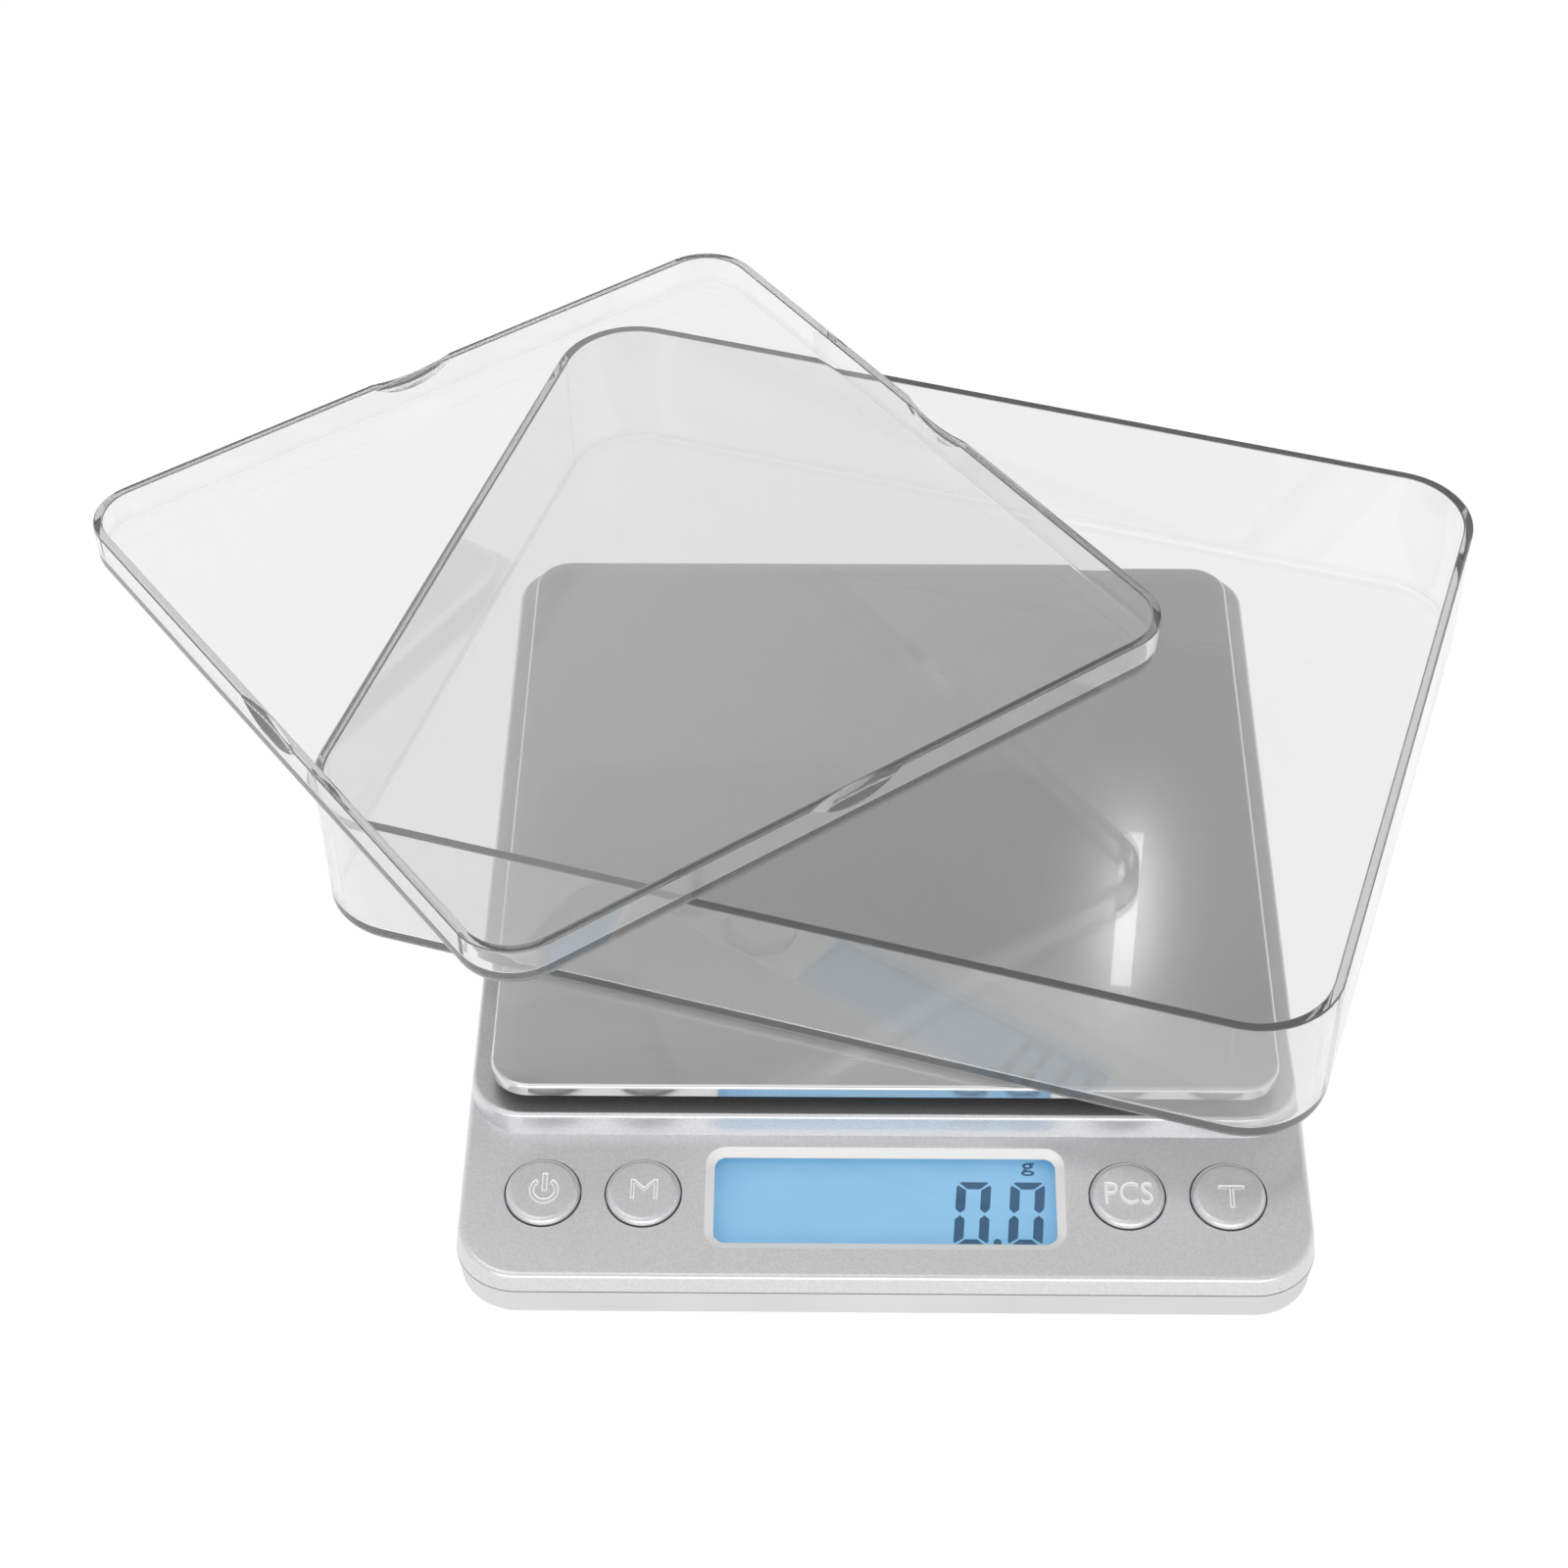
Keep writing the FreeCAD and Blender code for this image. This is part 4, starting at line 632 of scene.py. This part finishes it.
@dataclass(frozen=True)
class BatteryJacket:
    """A printed foil jacket: a plain blue can with a copper-coloured band at its positive end."""

    name: str
    band_from: float
    band_to: float

    def material(self) -> bpy.types.Material:
        """Builds the jacket."""
        made, tree = new_material(self.name)
        place = add_node(tree, "ShaderNodeSeparateXYZ", links={"Vector": place_on_piece(tree)})
        band = add_node(tree, "ShaderNodeMapRange",
                        {"From Min": self.band_from, "From Max": self.band_to},
                        {"Value": place.outputs["X"]})
        colour = add_node(tree, "ShaderNodeValToRGB",
                          {"stops": [(0.0, linear("#1d3156")), (0.49, linear("#21386a")),
                                     (0.51, linear("#b87a4a")), (1.0, linear("#c08655"))]},
                          {"Fac": band})
        rough = add_node(tree, "ShaderNodeMapRange", {"To Min": 0.25, "To Max": 0.4},
                         {"Value": mottle(tree, pitch_mm=3.0)})
        foil = add_node(tree, "ShaderNodeBump", {"Distance": 0.01 * MM, "Strength": 1.0},
                        {"Height": mottle(tree, pitch_mm=1.0)})
        finish_with(tree, {"Metallic": 0.6, "Coat Weight": 0.5},
                    {"Base Color": colour, "Roughness": rough, "Normal": foil})
        return made


# ---------------------------------------------------------------- making pieces

def dress(finish: object, *nodes: str) -> None:
    """Gives CAD nodes a finish.

    Args:
        finish: A finish with a material method.
        nodes: The CAD nodes' names.
    """
    material = finish.material()
    for node in nodes:
        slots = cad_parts[node].data.materials
        slots.clear()
        slots.append(material)
        LOG.info("dressed %s in %s", node, material.name)


def add_piece(name: str, mesh: bmesh.types.BMesh, finish: bpy.types.Material, body: str,
              place: Matrix) -> bpy.types.Object:
    """Turns a mesh into a piece that rides on a body.

    Args:
        name: The piece's name.
        mesh: Its shape about the origin, which is freed.
        finish: Its material.
        body: The CAD body it moves with.
        place: Where it goes.

    Returns:
        The piece.
    """
    bmesh.ops.transform(mesh, matrix=place, verts=mesh.verts)
    bmesh.ops.remove_doubles(mesh, verts=mesh.verts, dist=1e-7)
    bmesh.ops.recalc_face_normals(mesh, faces=mesh.faces)
    data = bpy.data.meshes.new(name)
    mesh.to_mesh(data)
    mesh.free()
    data.materials.append(finish)
    piece = bpy.data.objects.new(name, data)
    bpy.context.scene.collection.objects.link(piece)
    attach(piece, body)
    LOG.info("added %s with %d faces on %s", name, len(data.polygons), body)
    return piece


def raise_faces(mesh: bmesh.types.BMesh, faces: list[bmesh.types.BMFace],
                height_mm: float) -> list[bmesh.types.BMFace]:
    """Extrudes flat faces straight up.

    Args:
        mesh: The mesh that holds them.
        faces: The faces on the XY plane.
        height_mm: How far they are raised.

    Returns:
        The raised faces.
    """
    raised = bmesh.ops.extrude_face_region(mesh, geom=faces)["geom"]
    top = [item for item in raised if isinstance(item, bmesh.types.BMVert)]
    bmesh.ops.translate(mesh, verts=top, vec=(0, 0, height_mm * MM))
    return [item for item in raised if isinstance(item, bmesh.types.BMFace)]


# ---------------------------------------------------------------- keys

class Legend(Enum):
    """What is moulded on each key, by the key's name."""

    POWER = "power"
    MODE = "mode"
    COUNT = "count"
    TARE = "tare"


@dataclass(frozen=True)
class Box:
    """A flat box on the panel, in millimetres: across from left to right, and up the slope."""

    left: float
    low: float
    right: float
    high: float


@dataclass(frozen=True)
class Keys:
    """Four round keys with outlined legends raised on them."""

    rise: float = 0.9
    sink: float = 0.02
    height: float = 0.2
    ridge: float = 0.17
    groove: float = 0.09
    ring_middle: tuple[float, float] = (-42.7, 11.96)
    ring_radius: float = 1.55
    ring_width: float = 0.66
    ring_gap: float = 66.0
    ring_steps: int = 36
    bar: Box = Box(-43.0, 11.89, -42.3, 14.39)

    def letters(self) -> dict[Legend, tuple[str, Box]]:
        """What the lettered keys say, and the box each legend fills."""
        return {Legend.MODE: ("M", Box(-31.89, 10.84, -28.44, 13.61)),
                Legend.COUNT: ("PCS", Box(27.43, 10.49, 33.41, 13.57)),
                Legend.TARE: ("T", Box(41.63, 10.07, 44.86, 13.18))}

    def ring(self) -> bmesh.types.BMesh:
        """The power sign's open ring, as a flat strip spun from one edge."""
        mesh = bmesh.new()
        start = math.radians(90 + self.ring_gap / 2)
        way = Vector((math.cos(start), math.sin(start), 0)) * MM
        ends = [mesh.verts.new(way * (self.ring_radius + side * self.ring_width / 2))
                for side in (-1, 1)]
        edge = mesh.edges.new(ends)
        bmesh.ops.spin(mesh, geom=[*ends, edge], cent=(0, 0, 0), axis=(0, 0, 1),
                       steps=self.ring_steps, angle=math.radians(360 - self.ring_gap),
                       use_merge=False)
        bmesh.ops.translate(mesh, verts=mesh.verts, vec=Vector((*self.ring_middle, 0)) * MM)
        return mesh

    def bar_strip(self) -> bmesh.types.BMesh:
        """The power sign's upright bar, flat."""
        mesh = bmesh.new()
        bar = self.bar
        corners = [(bar.left, bar.low), (bar.right, bar.low), (bar.right, bar.high),
                   (bar.left, bar.high)]
        mesh.faces.new([mesh.verts.new((x * MM, y * MM, 0)) for x, y in corners])
        return mesh

    def outline(self, mesh: bmesh.types.BMesh) -> bmesh.types.BMesh:
        """Raises a flat shape with a ridge along its outline, painted near-white as a highlight, and
        its middle a little sunk.

        Args:
            mesh: The flat shape, which is changed.

        Returns:
            The same mesh.
        """
        middle = raise_faces(mesh, mesh.faces[:], self.height)
        # The outline ridge takes the second material, a painted highlight, and the sunk middle takes
        # the key's paint.
        for face in mesh.faces:
            face.material_index = 1
        bmesh.ops.inset_region(mesh, faces=middle, thickness=self.ridge * MM,
                               use_even_offset=True)
        inner = {vert for face in middle for vert in face.verts}
        bmesh.ops.translate(mesh, verts=list(inner), vec=(0, 0, -self.groove * MM))
        for face in middle:
            face.material_index = 0
        return mesh

    def legend_mesh(self, legend: Legend) -> bmesh.types.BMesh:
        """Makes one key's legend on the panel's plane.

        Args:
            legend: Which key.

        Returns:
            The legend's mesh.
        """
        if legend is Legend.POWER:
            made = self.outline(self.ring())
            append_mesh(made, self.outline(self.bar_strip()))
            return made
        return self.outline(flat_text(*self.letters()[legend]))

    def build(self, finish: bpy.types.Material, edge: bpy.types.Material) -> None:
        """Adds every legend to its key.

        Args:
            finish: The keys' paint.
            edge: The legends' outline ridge, painted near-white as a highlight.
        """
        place = PANEL.matrix(0, 0, self.rise - self.sink)
        for legend in Legend:
            piece = add_piece(f"legend_{legend.value}", self.legend_mesh(legend), finish,
                              f"key_{legend.value}", place)
            piece.data.materials.append(edge)


def flat_text(text: str, box: Box, weight: float = 0.0) -> bmesh.types.BMesh:
    """Makes flat lettering that fills a box.

    Args:
        text: What it says.
        box: The box it fills, in millimetres.
        weight: How far its outline is pushed out, as a share of its size.

    Returns:
        The lettering's mesh, on the XY plane.
    """
    curve = bpy.data.curves.new("lettering", "FONT")
    curve.body = text
    curve.resolution_u = 5
    curve.offset = weight
    curve.fill_mode = "FRONT"
    holder = bpy.data.objects.new("lettering", curve)
    bpy.context.scene.collection.objects.link(holder)
    bpy.context.view_layer.update()
    data = bpy.data.meshes.new_from_object(holder.evaluated_get(
        bpy.context.evaluated_depsgraph_get()))
    mesh = bmesh.new()
    mesh.from_mesh(data)
    bpy.data.objects.remove(holder)
    bpy.data.curves.remove(curve)
    bpy.data.meshes.remove(data)
    bmesh.ops.remove_doubles(mesh, verts=mesh.verts, dist=1e-4)
    xs, ys = [vert.co.x for vert in mesh.verts], [vert.co.y for vert in mesh.verts]
    across = (box.right - box.left) / (max(xs) - min(xs))
    up = (box.high - box.low) / (max(ys) - min(ys))
    for vert in mesh.verts:
        vert.co = Vector(((box.left + (vert.co.x - min(xs)) * across) * MM,
                          (box.low + (vert.co.y - min(ys)) * up) * MM, 0))
    return mesh


def append_mesh(mesh: bmesh.types.BMesh, part: bmesh.types.BMesh) -> None:
    """Joins one mesh into another and frees it.

    Args:
        mesh: The mesh that gets it.
        part: The mesh that is joined in.
    """
    holder = bpy.data.meshes.new("joining")
    part.to_mesh(holder)
    part.free()
    mesh.from_mesh(holder)
    bpy.data.meshes.remove(holder)


# ---------------------------------------------------------------- display

@dataclass(frozen=True)
class Display:
    """The figures on the display: two seven-segment digits, a point and the gram sign."""

    depth: float = -2.0
    film: float = 0.03
    height: float = 9.2
    width: float = 4.36
    segment_x: float = 1.24
    segment_y: float = 1.02
    gap: float = 0.16
    lean: float = 0.068
    first: float = 8.45
    pitch: float = 6.78
    foot: float = 5.75
    point: tuple[float, float] = (14.0, 6.31)
    point_radius: float = 0.52
    point_sides: int = 28
    sign: Box = Box(17.19, 15.89, 18.88, 17.78)
    sign_weight: float = 0.012

    def segments(self) -> list[list[tuple[float, float]]]:
        """Outlines of the six outer segments of a digit, from its lower left corner."""
        w, h, tx, ty, g = self.width, self.height, self.segment_x, self.segment_y, self.gap
        half = h / 2
        tip = 0.5 * tx
        left_upper = [(0, half + tip + g), (tip, half + g), (tx, half + tip * 0.85 + g),
                      (tx, h - ty - g), (0.18, h - 0.3 - g), (0, h - 0.55 - g)]
        top = [(tx + g, h - ty), (w - tx - g, h - ty), (w - 0.35, h - 0.12), (w - 0.6, h),
               (0.6, h), (0.35, h - 0.12)]
        upper_right = [(w - x, y) for x, y in reversed(left_upper)]
        left_lower = [(x, h - y) for x, y in reversed(left_upper)]
        lower_right = [(w - x, y) for x, y in reversed(left_lower)]
        bottom = [(x, h - y) for x, y in reversed(top)]
        return [left_upper, upper_right, left_lower, lower_right, top, bottom]

    def digit(self, left: float) -> bmesh.types.BMesh:
        """Makes one digit, leaning a little to the right.

        Args:
            left: The place of its lower left corner across the display, in millimetres.

        Returns:
            The digit's mesh.
        """
        mesh = bmesh.new()
        for outline in self.segments():
            corners = [(left + x + y * self.lean, self.foot + y) for x, y in outline]
            floor = mesh.faces.new([mesh.verts.new((x * MM, y * MM, 0)) for x, y in corners])
            raise_faces(mesh, [floor], self.film)
        return mesh

    def build(self, ink: bpy.types.Material) -> None:
        """Adds the figures to the display glass.

        Args:
            ink: The driven segments' material.
        """
        place = PANEL.matrix(0, 0, self.depth)
        for number, left in enumerate((self.first, self.first + self.pitch), start=1):
            add_piece(f"display_digit_{number}", self.digit(left), ink, "base", place)
        point = bmesh.new()
        bmesh.ops.create_circle(point, cap_ends=True, segments=self.point_sides,
                                radius=self.point_radius * MM)
        raise_faces(point, point.faces[:], self.film)
        add_piece("display_point", point, ink, "base",
                  place @ Matrix.Translation((self.point[0] * MM, self.point[1] * MM, 0)))
        sign = flat_text("g", self.sign, self.sign_weight)
        raise_faces(sign, sign.faces[:], self.film)
        add_piece("display_gram_sign", sign, ink, "base", place)


# ---------------------------------------------------------------- the scale's finishes

@dataclass(frozen=True)
class Casing:
    """The painted cover, the grey case under it, the battery cover, feet and casing screws."""

    def build(self) -> None:
        """Dresses the casing."""
        dress(SilverPaint(window=WindowFrame()), "top_cover")
        dress(MouldedPlastic("light_grey_abs", "#cdcdce", 0.42, 0.4, 0.02),
              "bottom_case", "battery_cover")
        dress(MouldedPlastic("dark_silicone_rubber", "#3a3a3a", 0.7, 0.5, 0.04, 1.43),
              "foot_front_left", "foot_front_right", "foot_rear_left", "foot_rear_right")
        dress(PlainMetal("zinc_plated_steel", "#b5b6b8", 0.28, 0.3),
              "case_screws", "board_screws", "load_cell_base_screws", "load_cell_platform_screws")


@dataclass(frozen=True)
class Platform:
    """The steel pan, its carrier, and the load cell that carries them."""

    def build(self) -> None:
        """Dresses the platform and the load cell."""
        dress(BrushedStainless(), "platform_pan")
        dress(MouldedPlastic("black_abs_carrier", "#242425", 0.5, 0.3), "platform_carrier")
        dress(PlainMetal("milled_aluminium", "#cfd0d2", 0.3, 0.25, (0.05, 1, 1)), "load_cell")
        dress(MouldedPlastic("amber_gauge_film", "#a8662a", 0.25, 0.2, 0.005), "strain_gauges")


@dataclass(frozen=True)
class Electronics:
    """The display, the board, the keys' switches and the wiring behind the panel."""

    keys: Keys = Keys()
    display: Display = Display()

    def build(self) -> None:
        """Dresses the electronics, and adds the keys' legends and the display's figures."""
        names = [legend.value for legend in Legend]
        dress(SilverPaint("silver_sprayed_keys", "#dcdcdd", "#d0d0d2"),
              *[f"button_{name}" for name in names])
        dress(MouldedPlastic("black_nylon_switch", "#1c1c1d", 0.5, 0.3),
              *[f"{part}_{name}" for part in ("switch", "plunger") for name in names])
        # Painted highlight: the legends' outline ridges are near-white where their edges would catch
        # the light.
        edge = MouldedPlastic("painted_highlight_silver_edge", "#fbfbfb", 0.35, 0.3, 0.004).material()
        self.keys.build(bpy.data.materials["silver_sprayed_keys"], edge)
        dress(ClearLens(), "display_lens")
        dress(LitDisplay(), "lcd_glass")
        dress(MouldedPlastic("light_guide_acrylic", "#bfe0f7", 0.3, 0.6), "lcd_backlight")
        dress(LayeredSilicone(), "contact_strip")
        dress(MouldedPlastic("black_abs_holder", "#2b2b2c", 0.5, 0.4), "lcd_holder")
        dress(CircuitLaminate(), "main_board")
        dress(MouldedPlastic("black_epoxy_chip", "#151516", 0.4, 0.2, 0.01), "controller_chip")
        self.display.build(DisplayInk("driven_segment", "#004a70").material())
        for colour, shade, *battery_lead in (("red", "#b3231f", "battery_lead_positive"),
                                             ("black", "#191919", "battery_lead_negative"),
                                             ("green", "#1f7a3a"), ("white", "#e6e6e2")):
            dress(MouldedPlastic(f"{colour}_wire_sheath", shade, 0.4, 0.6, 0.01),
                  f"load_cell_lead_{colour}", *battery_lead)


@dataclass(frozen=True)
class BatteryBay:
    """Two cells and the contacts and springs that hold them."""

    band_reach: float = 0.024
    end_clearance: float = 0.0002

    def build(self) -> None:
        """Dresses the cells and contacts."""
        _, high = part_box("battery_front")
        low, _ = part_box("battery_rear")
        for node, end, inward in (("battery_front", high.x, -1), ("battery_rear", low.x, 1)):
            dress(BatteryJacket(node.replace("battery", "battery_jacket"),
                                end + inward * self.band_reach, end + inward * self.end_clearance),
                  node)
        dress(PlainMetal("nickel_plated_spring_steel", "#cfcac0", 0.22, 0.4),
              "battery_bridge_contact", "battery_bridge_spring", "battery_positive_contact",
              "battery_negative_contact", "battery_negative_spring")


@dataclass(frozen=True)
class Trays:
    """The deep tray on the platform and the shallow tray lying across it.

    Pieces that touch still have air between them, so each tray is drawn a hair small and light
    leaves it before it meets the steel.
    """

    air_film: float = 0.04

    def build(self) -> None:
        """Dresses both trays."""
        for node in ("deep_tray", "shallow_tray"):
            low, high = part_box(node)
            dress(ClearStyrene(f"clear_styrene_{node}", low.z, high.z), node)
            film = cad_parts[node].modifiers.new("air_film", "DISPLACE")
            film.mid_level = 0.0
            film.strength = -self.air_film * MM


# ---------------------------------------------------------------- studio

@dataclass(frozen=True)
class Studio:
    """A white bench, soft light all round, and the camera."""

    focal_mm: float = 80.56
    sensor_mm: float = 36.0
    place: tuple[float, float, float] = (-0.006163, -0.344239, 0.350135)
    right: tuple[float, float, float] = (0.99987, 0.01396, -0.00747)
    up: tuple[float, float, float] = (-0.00418, 0.68811, 0.72560)
    ahead: tuple[float, float, float] = (-0.01527, 0.72548, -0.68808)
    bench_size: float = 3.0
    behind_levels: tuple[tuple[float, float], ...] = (
        (0.0, 0.95), (0.42, 0.9), (0.6, 0.66), (0.7, 0.6), (0.722, 0.45), (0.735, 0.85),
        (0.752, 0.42), (0.83, 0.6), (0.93, 0.8))
    behind_lean: float = -0.095
    right_shade: tuple[float, float] = (1.0, 0.72)
    around_levels: tuple[tuple[float, float], ...] = (
        (0.0, 1.0), (0.5, 0.92), (0.88, 0.72), (1.0, 0.82))

    def camera(self) -> None:
        """Adds the camera."""
        data = bpy.data.cameras.new("studio_camera")
        data.lens = self.focal_mm
        data.sensor_width = self.sensor_mm
        data.clip_start = 0.01
        data.dof.use_dof = False
        made = bpy.data.objects.new("studio_camera", data)
        columns = Matrix((self.right, self.up, tuple(-part for part in self.ahead))).transposed()
        made.matrix_world = Matrix.Translation(self.place) @ columns.to_4x4()
        bpy.context.scene.collection.objects.link(made)
        bpy.context.scene.camera = made

    def bench(self) -> None:
        """Adds the white bench, which is seen through from below so that the feet show."""
        mesh = bmesh.new()
        bmesh.ops.create_grid(mesh, x_segments=8, y_segments=8, size=self.bench_size)
        data = bpy.data.meshes.new("bench")
        mesh.to_mesh(data)
        mesh.free()
        material, tree = new_material("lit_white_acrylic_bench")
        colour = add_node(tree, "ShaderNodeValToRGB",
                          {"stops": [(0.0, linear("#5e5e5e")), (1.0, linear("#626262"))]},
                          {"Fac": mottle(tree, pitch_mm=40.0)})
        side = add_node(tree, "ShaderNodeNewGeometry")
        clear_below = add_node(tree, "ShaderNodeMapRange", {"To Min": 1.0, "To Max": 0.0},
                               {"Value": side.outputs["Backfacing"]})
        grain = add_node(tree, "ShaderNodeBump", {"Distance": 0.01 * MM, "Strength": 1.0},
                         {"Height": mottle(tree, pitch_mm=2.0)})
        finish_with(tree, {"Roughness": 0.9, "Specular IOR Level": 0.1, "Emission Strength": 0.93,
                           "Emission Color": linear("#ffffff")},
                    {"Base Color": colour, "Alpha": clear_below, "Normal": grain})
        data.materials.append(material)
        made = bpy.data.objects.new("bench", data)
        bpy.context.scene.collection.objects.link(made)

    def sky(self) -> None:
        """Surrounds the scene with soft white light, greyer high up behind the scale.

        The pan and the trays' floors mirror what is about 43 degrees up behind them, and the
        panel what is about 70 degrees up.
        """
        world = bpy.data.worlds.new("soft_white_room")
        world.use_nodes = True
        tree = world.node_tree
        tree.nodes.clear()
        way = add_node(tree, "ShaderNodeTexCoord")
        parts = add_node(tree, "ShaderNodeSeparateXYZ", links={"Vector": way.outputs["Generated"]})
        behind = add_node(tree, "ShaderNodeMapRange",
                          {"interpolation_type": "SMOOTHSTEP", "From Min": 0.3, "From Max": 0.6},
                          {"Value": parts.outputs["Y"]})
        leaning = add_node(tree, "ShaderNodeMath",
                           {"operation": "MULTIPLY_ADD", 1: self.behind_lean},
                           {0: parts.outputs["X"], 2: parts.outputs["Z"]})
        high, around = (
            add_node(tree, "ShaderNodeValToRGB",
                     {"stops": [(place, (level, level, level, 1.0)) for place, level in levels]},
                     {"Fac": source})
            for levels, source in ((self.behind_levels, leaning),
                                   (self.around_levels, parts.outputs["Z"])))
        side = add_node(tree, "ShaderNodeMapRange",
                        {"From Min": -0.09, "From Max": 0.09, "To Min": self.right_shade[0],
                         "To Max": self.right_shade[1]}, {"Value": parts.outputs["X"]})
        shaded = add_node(tree, "ShaderNodeVectorMath", {"operation": "SCALE"},
                          {0: high, "Scale": side})
        grey = add_node(tree, "ShaderNodeMix", {"data_type": "RGBA"},
                        {0: behind, 6: around, 7: shaded})
        light = add_node(tree, "ShaderNodeBackground", {"Strength": 1.0},
                         {"Color": grey.outputs[2]})
        add_node(tree, "ShaderNodeOutputWorld", links={"Surface": light})
        bpy.context.scene.world = world

    def lamp(self, name: str, place: tuple[float, float, float], size: tuple[float, float],
             power: float, aim: tuple[float, float, float] = (0, 0, 0.02)) -> None:
        """Adds a soft box that faces the scale.

        Args:
            name: The lamp's name.
            place: Where it stands.
            size: Its width and height, in metres.
            power: Its power, in watts.
            aim: What it points at.
        """
        data = bpy.data.lights.new(name, "AREA")
        data.shape = "RECTANGLE"
        data.size, data.size_y = size
        data.energy = power
        made = bpy.data.objects.new(name, data)
        turn = (Vector(place) - Vector(aim)).to_track_quat("Z", "Y").to_matrix().to_4x4()
        made.matrix_world = Matrix.Translation(place) @ turn
        bpy.context.scene.collection.objects.link(made)

    def build(self) -> None:
        """Adds everything round the scale."""
        self.camera()
        self.bench()
        self.sky()
        self.lamp("overhead_softbox", (-0.3, -0.25, 0.95), (0.6, 0.6), 0.8)
        self.lamp("front_softbox", (0.0, -1.1, 0.3), (1.4, 0.5), 2.6)
        self.lamp("streak_strip", (0.106, 0.608, 0.659), (0.008, 0.06), 0.0036,
                  (0.032, -0.02, 0.019))
        settings = bpy.context.scene.view_settings
        settings.view_transform = "Standard"
        settings.look = "None"


def main() -> None:
    """Builds the studio and the scale in order."""
    logging.basicConfig(level=logging.INFO, format="%(name)s: %(message)s")
    for part in (Studio(), Casing(), Platform(), Electronics(), BatteryBay(), Trays()):
        LOG.info("building %s", type(part).__name__)
        part.build()
    bpy.context.view_layer.update()


if __name__ == "__main__":
    main()
